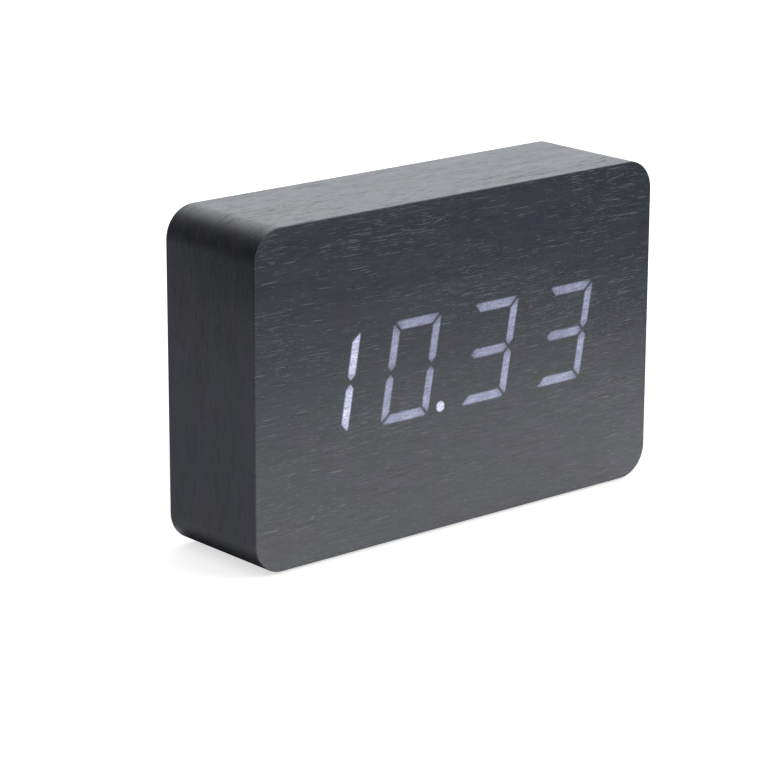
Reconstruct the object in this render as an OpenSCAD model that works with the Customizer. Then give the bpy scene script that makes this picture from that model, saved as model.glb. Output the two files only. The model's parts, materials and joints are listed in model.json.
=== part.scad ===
// Veneered block alarm clock with a light display that shines through the front veneer.
// X runs to the right, Y from the front to the rear, Z up. The origin is on the table under the middle.

/* [Case] */
// Width of the block
body_w = 154; // [150:1:190]
// Depth of the block from front to rear
body_d = 40; // [38:0.5:60]
// Height of the block without its feet
body_h = 100; // [92:1:130]
// Radius of the block's four corners, seen from the front
corner_r = 9.5; // [8:0.5:14]
// Thickness of the fibreboard wall round the block
wall_t = 6.4; // [5.4:0.1:7]
// Thickness of the fibreboard behind the front veneer
front_wall_t = 3; // [2.4:0.1:4]
// Thickness of the wood veneer
veneer_t = 0.6; // [0.5:0.05:0.9]
// Radius of the inner corners of the hollow
hollow_r = 3; // [1:0.5:4]
// Side of the square screw block in each inner corner
corner_block = 9; // [8:0.5:11]
// Diameter of the rubber feet
foot_d = 8; // [6:0.5:12]
// Height of the rubber feet
foot_h = 0.8; // [0.5:0.1:2]
// Distance from the block's sides to the middle of a foot
foot_side_inset = 16; // [12:1:30]
// Distance from the front and the rear to the middle of a foot
foot_end_inset = 10; // [7:1:14]

/* [Digits] */
// Height of a digit
digit_h = 30.4; // [24:0.2:34]
// Distance from the block's left side to the digits
digits_left = 15.05; // [13:0.05:20]
// Distance from the block's right side to the digits
digits_right = 23.55; // [15:0.05:28]
// Width of a digit as a share of the distance from one digit to the next
digit_w_share = 0.6066; // [0.5:0.0001:0.65]
// Width of a digit's strokes
stroke_w = 3.1; // [2.4:0.1:3.6]
// Gap between neighbouring segments
segment_gap = 0.45; // [0.3:0.05:0.8]
// Length cut from the outer corners of a digit
corner_cut = 1.5; // [0.8:0.1:2]
// Distance from a digit's middle line to the blunt tips of its upright segments
tip_cut = 0.8; // [0.6:0.05:1.2]
// Diameter of a dot
dot_d = 3.3; // [2.4:0.1:4]
// Distance from a digit's side to the middle of its dot
dot_offset = 4.55; // [3:0.05:6]
// Height of the display over the middle of the block
display_up = 1; // [-8:0.2:8]

/* [Display] */
// Veneer left in front of a segment
skin_t = 0.25; // [0.15:0.05:0.35]
// Depth of the lens behind the veneer
lens_depth = 1.2; // [0.8:0.1:2]
// Depth of the light box from the veneer to its board
reflector_depth = 8; // [7:0.5:10]
// Margin of the window past the sides of the digits
window_side = 2.6; // [2:0.1:4]
// Margin of the window over and under the digits
window_end = 2.6; // [2:0.1:4]
// Width of the light box's flange past the window
flange_w = 2; // [1.5:0.1:3]
// Thickness of the light box's flange
flange_t = 2; // [1.5:0.1:2.4]
// Diameter of the posts that carry the boards
post_d = 5; // [4.4:0.1:6]
// Thickness of both circuit boards
board_t = 1.6; // [1:0.1:2]

/* [Rear cover] */
// Thickness of the rear cover
cover_t = 2; // [1.8:0.1:3]
// Depth of the cover's face inside the rear edge
cover_recess = 1; // [0.9:0.1:2]
// Width of the step that the cover lies on
rebate_w = 3; // [2.4:0.1:3.6]
// Distance from the cover to the control board
boss_l = 8.5; // [8:0.1:10]
// Diameter of the button caps
button_d = 7; // [5:0.1:9]
// Travel of a button
button_travel = 0.4; // [0.25:0.05:0.6]
// Distance between the buttons
button_pitch = 14; // [13:0.5:15]
// Travel of the alarm switch
slide_travel = 2; // [1.5:0.1:3]
// Diameter of the power socket's bore
jack_bore_d = 3.7; // [3.4:0.1:4.2]
// Diameter of the power socket's centre pin
jack_pin_d = 1.3; // [1.1:0.05:1.4]

/* [Batteries] */
// Diameter of a cell
cell_d = 10.5; // [9.5:0.1:11]
// Length of a cell with its button
cell_l = 44.5; // [42:0.5:46]
// Number of cells
cell_count = 4; // [3:1:4]
// Wall of the battery tray
tray_wall = 1.5; // [1.2:0.1:1.8]
// Length of a cell spring between its plate and the cell
spring_l = 3.6; // [3:0.1:4.5]

/* [Hidden] */
$fn = 64;

// How far cuts run past what they cut
overrun = 1;
// Play of a screw's shank in its pilot hole
pilot_ease = 0.02;
// Free play between parts that are set into each other
fit_gap = 0.2;

// Segments that are lit, for each digit from the left
lit_segments_shown = ["bc", "abcdef.", "abcdg", "abcdg"];
all_segments = "abcdefg";
digit_count = len(lit_segments_shown);
// Sideways lean of the digits for each unit of height
lean_share = 0.175;
// Size of a light cell behind the board's front as a share of its size at the lens
cell_taper_share = 0.55;

// Planes from the front to the rear
front_y = -body_d / 2;
core_y = front_y + veneer_t;
wall_y = core_y + front_wall_t;
display_y = core_y + reflector_depth;
display_back_y = display_y + board_t;
rear_y = body_d / 2;
cover_out_y = rear_y - cover_recess;
cover_in_y = cover_out_y - cover_t;
control_y = cover_in_y - boss_l;
control_front_y = control_y - board_t;
mid_z = foot_h + body_h / 2;

// The hollow and the rear cover
shell_t = veneer_t + wall_t;
hollow_w = body_w - 2 * shell_t;
hollow_h = body_h - 2 * shell_t;
rebate_r = hollow_r + rebate_w;
cover_w = hollow_w + 2 * (rebate_w - fit_gap);
cover_h = hollow_h + 2 * (rebate_w - fit_gap);

// Screws
screw_d = 2.2;
screw_head_d = 4.4;
screw_head_h = 1.2;
screw_slot_w = 0.6;
screw_slot_depth = 0.6;
screw_hole_play = 0.2;
board_screw_bite = 5;
cover_screw_d = 2.6;
cover_screw_bite = 8;
pilot_skin = 0.7;
head_play = 0.3;

// The display's window and light box
digits_w = body_w - digits_left - digits_right;
digit_pitch = (digits_w - lean_share * digit_h) / (digit_count - 1 + digit_w_share);
digit_w = digit_w_share * digit_pitch;
display_x = (digits_left - digits_right) / 2;
window_w = digits_w + 2 * window_side;
window_h = digit_h + 2 * window_end;
window_r = 1;
display_z = mid_z + display_up;
post_skin = 1;
post_x = window_w / 2 - post_d;
post_z = window_h / 2 + post_d / 2 + fit_gap;
display_board_w = window_w + 2 * flange_w;
display_board_h = 2 * (post_z + post_d / 2 + post_skin);
lens_ease = 0.05;
lens_seat = 0.25;
cell_wall = 1.2;
dot_funnel_d = 2.2;
pocket_face_t = 2;
led_l = 1.6;
led_w = 0.8;
led_h = 0.6;

// Parts on the display board
chip_l = 10;
chip_w = 6;
chip_h = 1.8;
chip_foot = 0.15;
chip_lead_count = 8;
chip_lead_pitch = 1.1;
chip_lead_w = 0.4;
chip_lead_t = 0.2;
chip_lead_reach = 1.2;
driver_spread = 24;
driver_drop = 8;
header_l = 14;
header_w = 4;
header_h = 2.5;
ribbon_w = 12;
ribbon_t = 0.9;
ribbon_up = 8;
ribbon_drop = 14;
ribbon_bend_r = 2;

// The battery tray and its cells
cell_gap = 0.25;
cell_pitch = cell_d + 2 * cell_gap;
cell_top_gap = 0.3;
plate_t = 0.4;
plate_w = 8;
plate_lift = 0.6;
plate_h = 8.4;
tray_floor_t = 1.5;
tray_in_l = cell_l + spring_l + 2 * plate_t;
tray_in_h = cell_count * cell_pitch;
tray_l = tray_in_l + 2 * tray_wall;
cell_y = cover_in_y - cell_top_gap - cell_d / 2;
tray_floor_y = cell_y - cell_d / 2 - cell_gap;
// Room beside the tray and the control board, and its shares left of the tray and between both
control_w = 52;
side_room = hollow_w - tray_l - control_w;
tray_side_share = 0.445;
control_side_share = 0.332;
tray_x = tray_side_share * side_room + (tray_l - hollow_w) / 2;
tray_left_x = tray_x - tray_in_l / 2;
tray_right_x = tray_x + tray_in_l / 2;
ridge_w = 4;
ridge_h = 1.8;
nub_d = 3.8;
nub_l = 1.2;
can_edge = 0.8;
wire_d = 0.6;
spring_turns = 2.5;
spring_base_d = 7;
spring_tip_d = 4;
spring_ring_steps = 8;
spring_sides = 6;
tab_w = 3;
tab_l = 3.2;
lead_d = 1.4;
lead_straight = 4;
lead_bend_r = 2;
lead_sides = 8;
lead_bend_steps = 4;
lead_pad_inset = 3.5;

// The battery door, its hooks and its latch
ledge_w = 1.6;
ledge_t = 1.5;
ledge_lap = 1.2;
door_seat = 0.2;
door_w = tray_in_l + 2 * ledge_w;
door_h = tray_in_h + 2 * ledge_w;
door_t = cover_t - door_seat;
door_bottom_z = mid_z - door_h / 2;
door_top_z = mid_z + door_h / 2;
door_r = 1;
hook_w = 8;
hook_t = 1;
hook_gap = 0.1;
hook_angle = 35;
hook_neck_angle = 25;
hook_neck = 1.5;
hook_spread = 28;
hook_play = 0.4;
hook_in_r = cover_t / cos(hook_angle) + hook_gap;
hook_out_r = hook_in_r + hook_t;
hook_reach = hook_out_r * sin(hook_angle);
hook_sweep = hook_out_r + fit_gap;
latch_w = 10;
latch_l = 9;
latch_slot = 1;
latch_nose_l = 1.2;
latch_nose_depth = 1.2;
grip_count = 4;
grip_pitch = 1.6;
grip_w = 0.7;
grip_depth = 0.4;

// The control board and what it carries
control_h = 58;
control_x = tray_x + (tray_l + control_w) / 2 + control_side_share * side_room;
boss_inset = 4;
boss_x = control_w / 2 - boss_inset;
boss_z = control_h / 2 - boss_inset;
button_up = 16;
button_z = mid_z + button_up;
switch_w = 6;
switch_h = 3.5;
switch_r = 0.6;
plunger_d = 3.5;
plunger_ease = 0.05;
plunger_in = 1;
plunger_out = 0.8;
plunger_rest_gap = 0.15;
stem_d = 4.5;
button_flange_w = 1.25;
button_flange_t = 1;
button_play = 0.05;
button_proud = 0.8;
button_edge = 0.5;
button_dish = 0.2;
button_dish_d = 4.4;
slide_x = control_x - button_pitch;
slide_l = 9;
slide_w = 4.6;
slide_top_gap = 1;
slide_base_l = 4;
slide_base_w = 2;
slide_base_t = 1.4;
slide_play = 0.1;
slide_knob_w = 2;
slide_proud = 0.7;
slide_lug = 1.2;
slide_lug_t = 1;
jack_x = control_x + button_pitch;
jack_drop = 18;
jack_z = mid_z - jack_drop;
jack_w = 9;
jack_top_gap = 0.5;
jack_nose_d = 8;
jack_nose_sink = 0.3;
jack_floor = 1.4;
jack_lip = 0.4;
pin_root_d = 0.9;
pin_sink = 1.2;
buzzer_side = 2;
buzzer_x = control_x + buzzer_side;
buzzer_d = 12;
buzzer_top_gap = 0.8;
buzzer_hole_d = 2;
buzzer_step = 0.5;
sound_hole_d = 1.4;
sound_ring_d = 6;
sound_hole_count = 6;
mic_side = 16;
mic_x = control_x + mic_side;
mic_d = 6;
mic_l = 2.7;
mic_ease = 0.05;
mic_ring_t = 1.2;
mic_hole_d = 1.6;
mic_port_d = 2;
mic_port_depth = 0.3;
sensor_x = control_x - button_pitch;
sensor_z = mid_z - jack_drop;
sensor_d = 2.4;
sensor_leg_d = 0.5;
sensor_leg_l = 3;
sensor_leg_gap = 1.2;
vent_count = 4;
vent_l = 8;
vent_w = 1.2;
vent_pitch = 2.6;
clock_chip_l = 18;
clock_chip_w = 7.5;
clock_chip_leads = 14;
clock_chip_side = 6;
clock_chip_up = 18;
clock_chip_x = control_x - clock_chip_side;
clock_chip_z = mid_z + clock_chip_up;
crystal_l = 11;
crystal_w = 4.6;
crystal_h = 3.5;
crystal_side = 14;
crystal_up = 10;
crystal_x = control_x + crystal_side;
crystal_z = mid_z + crystal_up;
can_d = 6;
can_h = 7;
can_groove = 0.3;
can_foot_h = 1.2;
can_pitch = 8;
can_side = 6;
can_drop = 20;
can_x = control_x + can_side;
can_z = mid_z - can_drop;

// Solid between two planes across Y, from an outline in X and Z
module slab(from_y, depth) {
    translate([0, from_y + depth, 0])
        rotate([90, 0, 0])
            linear_extrude(depth)
                children();
}

// Solid between two planes across X, from an outline in Y and Z
module band(from_x, width) {
    translate([from_x, 0, 0])
        rotate([90, 0, 90])
            linear_extrude(width)
                children();
}

// Round bar along Y
module rod(place, from_y, depth, d) {
    translate([place[0], from_y, place[1]])
        rotate([-90, 0, 0])
            cylinder(h = depth, d = d);
}

// Children that stand on a plane across Y and point to the rear
module facing_rear(place, y) {
    translate([place[0], y, place[1]])
        rotate([-90, 0, 0])
            children();
}

// Children that stand on a plane across Y and point to the front
module facing_front(place, y) {
    translate([place[0], y, place[1]])
        rotate([90, 0, 0])
            children();
}

// Rectangle with round corners about its middle
module rounded(w, h, r) {
    square([w - 2 * r, h], center = true);
    square([w, h - 2 * r], center = true);
    for (sx = [-1, 1], sz = [-1, 1])
        translate([sx * (w / 2 - r), sz * (h / 2 - r)])
            circle(r);
}

// Outline of the block drawn in by an inset
module block_outline(inset) {
    translate([0, mid_z])
        rounded(body_w - 2 * inset, body_h - 2 * inset, corner_r - inset);
}

// Four places at the corners of a rectangle
function corners(x, z) = [for (sx = [-1, 1], sz = [-1, 1]) [sx * x, sz * z]];

cover_screw_places = [
    for (p = corners((hollow_w - corner_block) / 2, (hollow_h - corner_block) / 2)) [p[0], mid_z + p[1]]
];
post_places = [for (p = corners(post_x, post_z)) [display_x + p[0], display_z + p[1]]];
boss_places = [for (p = corners(boss_x, boss_z)) [control_x + p[0], mid_z + p[1]]];
button_xs = [for (i = [-1:1]) control_x + i * button_pitch];

// Outline of one segment about the digit's middle, drawn in by an ease on every side.
// a is the top, b and c the right side, d the bottom, e and f the left side, g the middle.
function flipped(points, sx, sz) = [for (p = points) [sx * p[0], sz * p[1]]];
function leaned(p) = [p[0] + lean_share * p[1], p[1]];

function level_segment(hw, hh, s, m, cut) = [
    [-hw + cut, hh],
    [hw - cut, hh],
    [hw - (cut + m) / 2, hh - (cut - m) / 2],
    [hw - s - m, hh - s],
    [-hw + s + m, hh - s],
    [-hw + (cut + m) / 2, hh - (cut - m) / 2]
];

function upright_segment(hw, hh, s, m, cut, tip) = [
    [hw, hh - cut],
    [hw - (cut - m) / 2, hh - (cut + m) / 2],
    [hw - s, hh - s - m],
    [hw - s, s / 2 + m],
    [hw - s / 2 - (tip - m), tip],
    [hw - s / 2 + (tip - m), tip],
    [hw, s / 2 + m]
];

function middle_segment(hw, s, m, tip) = [
    [-(hw - s - m), s / 2],
    [hw - s - m, s / 2],
    [hw - s / 2 - tip, tip - m],
    [hw - s / 2 - tip, m - tip],
    [hw - s - m, -s / 2],
    [-(hw - s - m), -s / 2],
    [-(hw - s / 2 - tip), m - tip],
    [-(hw - s / 2 - tip), tip - m]
];

function segment_points(name, ease) =
    let (
        hw = digit_w / 2 - ease,
        hh = digit_h / 2 - ease,
        s = stroke_w - 2 * ease,
        m = (segment_gap / 2 + ease) * sqrt(2),
        cut = corner_cut - (2 - sqrt(2)) * ease,
        tip = tip_cut + ease
    )
    name == "a" ? level_segment(hw, hh, s, m, cut)
    : name == "b" ? upright_segment(hw, hh, s, m, cut, tip)
    : name == "c" ? flipped(upright_segment(hw, hh, s, m, cut, tip), 1, -1)
    : name == "d" ? flipped(level_segment(hw, hh, s, m, cut), 1, -1)
    : name == "e" ? flipped(upright_segment(hw, hh, s, m, cut, tip), -1, -1)
    : name == "f" ? flipped(upright_segment(hw, hh, s, m, cut, tip), -1, 1)
    : middle_segment(hw, s, m, tip);

// Middle of one segment about the digit's middle
function segment_middle(name) =
    let (x = (digit_w - stroke_w) / 2, z = (digit_h - stroke_w) / 2)
    name == "a" ? [0, z]
    : name == "b" ? [x, digit_h / 4]
    : name == "c" ? [x, -digit_h / 4]
    : name == "d" ? [0, -z]
    : name == "e" ? [-x, -digit_h / 4]
    : name == "f" ? [-x, digit_h / 4]
    : [0, 0];

function digit_x(i) = display_x + (i - (digit_count - 1) / 2) * digit_pitch;
dot_middle = leaned([digit_w / 2 + dot_offset, (dot_d - digit_h) / 2]);
function dot_place(i) = [digit_x(i) + dot_middle[0], display_z + dot_middle[1]];

// Leaning outline of one segment, in place
module segment(i, name, ease) {
    translate([digit_x(i), display_z])
        polygon([for (p = segment_points(name, ease)) leaned(p)]);
}

// Outlines of every segment and dot of the display
module every_segment(ease) {
    for (i = [0:digit_count - 1]) {
        for (name = all_segments)
            segment(i, name, ease);
        translate(dot_place(i))
            circle(d = dot_d - 2 * ease);
    }
}

// Outlines of the segments and the dot that are lit
module shown_segments() {
    for (i = [0:digit_count - 1], name = lit_segments_shown[i])
        if (name == ".")
            translate(dot_place(i))
                circle(d = dot_d);
        else
            segment(i, name, 0);
}

// Light cell behind one segment: drawn in a little from the lens, which sits on its rim, and
// narrower towards the board
module light_funnel(i, name) {
    middle = segment_middle(name);
    place = leaned(middle);
    outline = [for (p = segment_points(name, lens_seat)) leaned(p - middle)];
    translate([digit_x(i) + place[0], display_y + overrun, display_z + place[1]])
        rotate([90, 0, 0])
            linear_extrude(overrun + reflector_depth - lens_depth / 2, scale = 1 / cell_taper_share)
                scale(cell_taper_share)
                    polygon(outline);
}

// Light cell behind one dot
module dot_funnel(i) {
    place = dot_place(i);
    translate([place[0], core_y + lens_depth / 2, place[1]])
        rotate([-90, 0, 0])
            cylinder(h = reflector_depth, d1 = dot_d - 2 * lens_seat, d2 = dot_funnel_d);
}

// Pan head screw that points to the front, its head seated on a plane
module screw(place, seat_y, bite, d, head_d, head_h) {
    difference() {
        union() {
            rod(place, seat_y - bite, bite, d);
            rod(place, seat_y, head_h, head_d);
        }
        cross_slot(place, seat_y + head_h - screw_slot_depth, head_d);
    }
}

module cross_slot(place, from_y, head_d) {
    slot_l = head_d - 2 * screw_slot_w;
    translate([place[0], from_y + overrun / 2, place[1]])
        for (turn = [0, 90])
            rotate([0, turn, 0])
                cube([slot_l, overrun, screw_slot_w], center = true);
}

// Moulded chip with bent leads along both sides, standing on the plane z = 0
module flat_chip(l, w, h, lead_count) {
    lead_end = w / 2 + chip_lead_reach;
    lead_up = h / 2;
    translate([0, 0, chip_foot])
        linear_extrude(h - chip_foot)
            square([l, w], center = true);
    for (side = [-1, 1], i = [0:lead_count - 1])
        translate([(i - (lead_count - 1) / 2) * chip_lead_pitch - chip_lead_w / 2, 0, 0])
            rotate([90, 0, 90])
                linear_extrude(chip_lead_w)
                    polygon([
                        [side * (w / 2 - chip_lead_t), lead_up],
                        [side * (w / 2 + chip_lead_reach / 2), lead_up],
                        [side * (w / 2 + chip_lead_reach / 2), chip_lead_t],
                        [side * lead_end, chip_lead_t],
                        [side * lead_end, 0],
                        [side * (w / 2 + chip_lead_reach / 2 - chip_lead_t), 0],
                        [side * (w / 2 + chip_lead_reach / 2 - chip_lead_t), lead_up - chip_lead_t],
                        [side * (w / 2 - chip_lead_t), lead_up - chip_lead_t]
                    ]);
}

// Fibreboard ring with the front wall, the window and the corner screw blocks
module case_body() {
    color("saddlebrown")
        difference() {
            slab(core_y, body_d - veneer_t)
                block_outline(veneer_t);
            slab(wall_y, body_d)
                translate([0, mid_z])
                    difference() {
                        rounded(hollow_w, hollow_h, hollow_r);
                        for (p = corners(hollow_w / 2, hollow_h / 2))
                            translate(p)
                                square(2 * corner_block, center = true);
                    }
            slab(cover_in_y, body_d)
                translate([0, mid_z])
                    rounded(hollow_w + 2 * rebate_w, hollow_h + 2 * rebate_w, rebate_r);
            slab(front_y, body_d / 2)
                translate([display_x, display_z])
                    rounded(window_w, window_h, window_r);
            for (p = cover_screw_places)
                rod(p, cover_in_y - cover_screw_bite, body_d, cover_screw_d + 2 * pilot_ease);
            for (p = post_places)
                rod(p, core_y + pilot_skin, front_wall_t, screw_d + 2 * pilot_ease);
        }
}

// One strip of veneer wrapped round the four sides
module wrap_veneer() {
    color("dimgray")
        difference() {
            slab(core_y, body_d - veneer_t)
                block_outline(0);
            slab(core_y - overrun, body_d + 2 * overrun)
                block_outline(veneer_t);
        }
}

// Front sheet, thinned from behind at each segment and open where a lit skin is set in
module front_veneer() {
    color("dimgray")
        difference() {
            slab(front_y, veneer_t)
                block_outline(0);
            slab(front_y + skin_t, veneer_t)
                every_segment(0);
            slab(front_y - overrun, body_d / 2)
                shown_segments();
        }
}

// The thin skin of veneer over the lit segments, which glows
module lit_segments() {
    color("lavender")
        slab(front_y, skin_t)
            shown_segments();
}

module rubber_feet() {
    edge = foot_h / 4;
    color("black")
        for (p = corners(body_w / 2 - foot_side_inset, body_d / 2 - foot_end_inset))
            translate([p[0], p[1], 0])
                rotate_extrude()
                    polygon([
                        [0, 0],
                        [foot_d / 2 - edge, 0],
                        [foot_d / 2, edge],
                        [foot_d / 2, foot_h],
                        [0, foot_h]
                    ]);
}

// White light box: a funnel behind each segment, a flange behind the front wall and four posts
module segment_reflector() {
    color("white")
        difference() {
            union() {
                slab(core_y, reflector_depth)
                    translate([display_x, display_z])
                        rounded(window_w - 2 * fit_gap, window_h - 2 * fit_gap, window_r);
                slab(wall_y, flange_t)
                    translate([display_x, display_z])
                        rounded(window_w + 2 * flange_w, window_h + 2 * flange_w, window_r + flange_w);
                for (p = post_places) {
                    rod(p, wall_y, flange_t, post_d + 2 * post_skin);
                    rod(p, wall_y, display_y - wall_y, post_d);
                }
            }
            slab(core_y - overrun, lens_depth + overrun)
                every_segment(0);
            for (i = [0:digit_count - 1]) {
                for (name = all_segments)
                    light_funnel(i, name);
                dot_funnel(i);
            }
            for (p = post_places)
                rod(p, wall_y - overrun, body_d, screw_d + 2 * screw_hole_play);
            slab(core_y + pocket_face_t, body_d)
                for (i = [0:digit_count - 2])
                    translate([digit_x(i), display_z])
                        rear_pocket();
        }
}

// Leaning pocket that saves plastic between two digits, over the dot
module rear_pocket() {
    left = digit_w / 2 + cell_wall;
    right = digit_pitch - digit_w / 2 - cell_wall;
    bottom = dot_d + cell_wall - digit_h / 2;
    top = digit_h / 2;
    polygon([
        leaned([left, bottom]),
        leaned([right, bottom]),
        leaned([right, top]),
        leaned([left, top])
    ]);
}

// Clear white lens in the mouth of every light cell, up against the thin skin
module segment_lenses() {
    color("whitesmoke")
        slab(front_y + skin_t, veneer_t - skin_t + lens_depth)
            every_segment(lens_ease);
}

// One light chip at the foot of every cell
module segment_leds() {
    color("khaki")
        for (i = [0:digit_count - 1]) {
            for (name = all_segments)
                led(i, leaned(segment_middle(name)), name == "a" || name == "d" || name == "g");
            led(i, dot_middle, true);
        }
}

module led(i, place, level) {
    size = level ? [led_l, led_h, led_w] : [led_w, led_h, led_l];
    translate([digit_x(i) + place[0], display_y - led_h / 2, display_z + place[1]])
        cube(size, center = true);
}

module display_board() {
    color("darkgreen")
        difference() {
            slab(display_y, board_t)
                translate([display_x, display_z])
                    square([display_board_w, display_board_h], center = true);
            for (p = post_places)
                rod(p, display_y - overrun, body_d, screw_d + 2 * screw_hole_play);
        }
}

module display_screws() {
    color("silver")
        for (p = post_places)
            screw(p, display_back_y, display_back_y - core_y - pilot_skin - fit_gap,
                screw_d, screw_head_d, screw_head_h);
}

// Two chips that drive the segments, on the rear of the display board
module driver_chips() {
    color("black")
        for (side = [-1, 1])
            facing_rear([display_x + side * driver_spread, display_z - driver_drop], display_back_y)
                flat_chip(chip_l, chip_w, chip_h, chip_lead_count);
}

// Ribbon cable from the display board back, down and back to the control board
ribbon_from_y = display_back_y + header_h;
ribbon_to_y = control_front_y - header_h;
ribbon_y = (ribbon_from_y + ribbon_to_y) / 2;
ribbon_top_z = mid_z + ribbon_up;
ribbon_bottom_z = ribbon_top_z - ribbon_drop;

module ribbon_header(y, z) {
    color("ivory")
        slab(y, header_h)
            translate([control_x, z])
                square([header_l, header_w], center = true);
}

module display_header() {
    ribbon_header(display_back_y, ribbon_top_z);
}

module control_header() {
    ribbon_header(ribbon_to_y, ribbon_bottom_z);
}

module display_ribbon() {
    color("gray")
        band(control_x - ribbon_w / 2, ribbon_w)
            translate([ribbon_y, (ribbon_top_z + ribbon_bottom_z) / 2])
                for (turn = [0, 180])
                    rotate(turn)
                        ribbon_half();
}

// Section of the ribbon's lower half: half of the drop, the bend and the run to the header
module ribbon_half() {
    drop = ribbon_drop / 2;
    run = ribbon_to_y - ribbon_y;
    translate([-ribbon_t / 2, ribbon_bend_r - drop])
        square([ribbon_t, drop - ribbon_bend_r]);
    translate([ribbon_bend_r, -drop - ribbon_t / 2])
        square([run - ribbon_bend_r, ribbon_t]);
    translate([ribbon_bend_r, ribbon_bend_r - drop])
        rotate(180)
            intersection() {
                difference() {
                    circle(ribbon_bend_r + ribbon_t / 2);
                    circle(ribbon_bend_r - ribbon_t / 2);
                }
                square(ribbon_bend_r + ribbon_t);
            }
}

module control_board() {
    color("darkgreen")
        difference() {
            slab(control_front_y, board_t)
                translate([control_x, mid_z])
                    square([control_w, control_h], center = true);
            for (p = boss_places)
                rod(p, control_front_y - overrun, body_d, screw_d + 2 * screw_hole_play);
        }
}

// Screws that hold the control board to the cover's bosses, put in from the front
module control_board_screws() {
    color("silver")
        for (p = boss_places)
            translate([0, 2 * control_front_y, 0])
                mirror([0, 1, 0])
                    screw(p, control_front_y, board_t + board_screw_bite,
                        screw_d, screw_head_d, screw_head_h);
}

module clock_chip() {
    color("black")
        facing_front([clock_chip_x, clock_chip_z], control_front_y)
            flat_chip(clock_chip_l, clock_chip_w, chip_h, clock_chip_leads);
}

module crystal() {
    color("silver")
        facing_front([crystal_x, crystal_z], control_front_y)
            linear_extrude(crystal_h)
                rounded(crystal_l, crystal_w, crystal_w / 2 - can_groove);
}

// Two standing capacitor cans with a crimp ring
module capacitors() {
    color("navy")
        for (side = [-1, 1])
            facing_front([can_x + side * can_pitch / 2, can_z], control_front_y)
                rotate_extrude()
                    polygon([
                        [0, 0],
                        [can_d / 2, 0],
                        [can_d / 2, can_foot_h],
                        [can_d / 2 - can_groove, can_foot_h + can_groove],
                        [can_d / 2, can_foot_h + 2 * can_groove],
                        [can_d / 2, can_h - can_groove],
                        [can_d / 2 - can_groove, can_h],
                        [0, can_h]
                    ]);
}

// Bead on two legs behind the vent slots
module temperature_sensor() {
    color("sienna")
        facing_rear([sensor_x, sensor_z], control_y) {
            for (side = [-1, 1])
                translate([side * sensor_leg_gap / 2, 0, 0])
                    cylinder(h = sensor_leg_l, d = sensor_leg_d);
            translate([0, 0, sensor_leg_l])
                sphere(d = sensor_d);
        }
}

// Capsule in the ring behind the cover, its port at the hole
module microphone() {
    color("lightgray")
        difference() {
            rod([mic_x, mid_z], cover_in_y - mic_l, mic_l, mic_d);
            rod([mic_x, mid_z], cover_in_y - mic_port_depth, overrun, mic_port_d);
        }
}

module buzzer() {
    height = boss_l - buzzer_top_gap;
    color("black")
        facing_rear([buzzer_x, mid_z], control_y)
            rotate_extrude()
                polygon([
                    [0, 0],
                    [buzzer_d / 2, 0],
                    [buzzer_d / 2, height - buzzer_step],
                    [buzzer_d / 2 - buzzer_step, height],
                    [buzzer_hole_d / 2, height],
                    [buzzer_hole_d / 2, height - 2 * buzzer_step],
                    [0, height - 2 * buzzer_step]
                ]);
}

// Push switches, each with a round well for its plunger
module tact_switches() {
    well_y = control_y + switch_h - plunger_in - button_travel - plunger_rest_gap;
    color("dimgray")
        for (x = button_xs)
            difference() {
                slab(control_y, switch_h)
                    translate([x, button_z])
                        rounded(switch_w, switch_w, switch_r);
                rod([x, button_z], well_y, body_d, plunger_d + 2 * plunger_ease);
            }
}

module plunger(x) {
    color("black")
        rod([x, button_z], control_y + switch_h - plunger_in, plunger_in + plunger_out, plunger_d);
}

module set_plunger() {
    plunger(button_xs[2]);
}

module down_plunger() {
    plunger(button_xs[1]);
}

module up_plunger() {
    plunger(button_xs[0]);
}

// Cap, flange and stem of a button, turned about its axis
module button(x) {
    stem_y = control_y + switch_h + plunger_out;
    flange_top = cover_in_y - button_play - stem_y;
    cap_top = cover_out_y + button_proud - stem_y;
    color("black")
        facing_rear([x, button_z], stem_y)
            rotate_extrude()
                polygon([
                    [0, 0],
                    [stem_d / 2, 0],
                    [stem_d / 2, flange_top - button_flange_t],
                    [button_d / 2 + button_flange_w, flange_top - button_flange_t],
                    [button_d / 2 + button_flange_w, flange_top],
                    [button_d / 2, flange_top],
                    [button_d / 2, cap_top - button_edge],
                    [button_d / 2 - button_edge, cap_top],
                    [button_dish_d / 2, cap_top],
                    [0, cap_top - button_dish]
                ]);
}

module set_button() {
    button(button_xs[2]);
}

module down_button() {
    button(button_xs[1]);
}

module up_button() {
    button(button_xs[0]);
}

// Slide switch: a box with a channel for the slider and a lug at each end
slide_top_y = cover_in_y - slide_top_gap;
slide_rest_x = slide_x - slide_travel / 2;

module alarm_switch_body() {
    color("silver")
        difference() {
            union() {
                slab(control_y, slide_top_y - control_y)
                    translate([slide_x, mid_z])
                        square([slide_l, slide_w], center = true);
                slab(control_y, slide_lug_t)
                    translate([slide_x, mid_z])
                        square([slide_l + 2 * slide_lug, slide_w / 2], center = true);
            }
            slab(slide_top_y - slide_base_t - slide_play, body_d)
                translate([slide_x, mid_z])
                    square([
                        slide_base_l + slide_travel + 2 * slide_play,
                        slide_base_w + 2 * slide_play
                    ], center = true);
        }
}

module alarm_switch_knob() {
    color("black")
        translate([slide_rest_x, 0, mid_z]) {
            slab(slide_top_y - slide_base_t, slide_base_t)
                square([slide_base_l, slide_base_w], center = true);
            slab(slide_top_y - slide_base_t, cover_out_y + slide_proud - slide_top_y + slide_base_t)
                square([slide_knob_w, slide_base_w], center = true);
        }
}

// Barrel socket: a square body with a round nose that comes out through the cover
jack_mouth_y = cover_out_y - jack_nose_sink;

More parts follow.
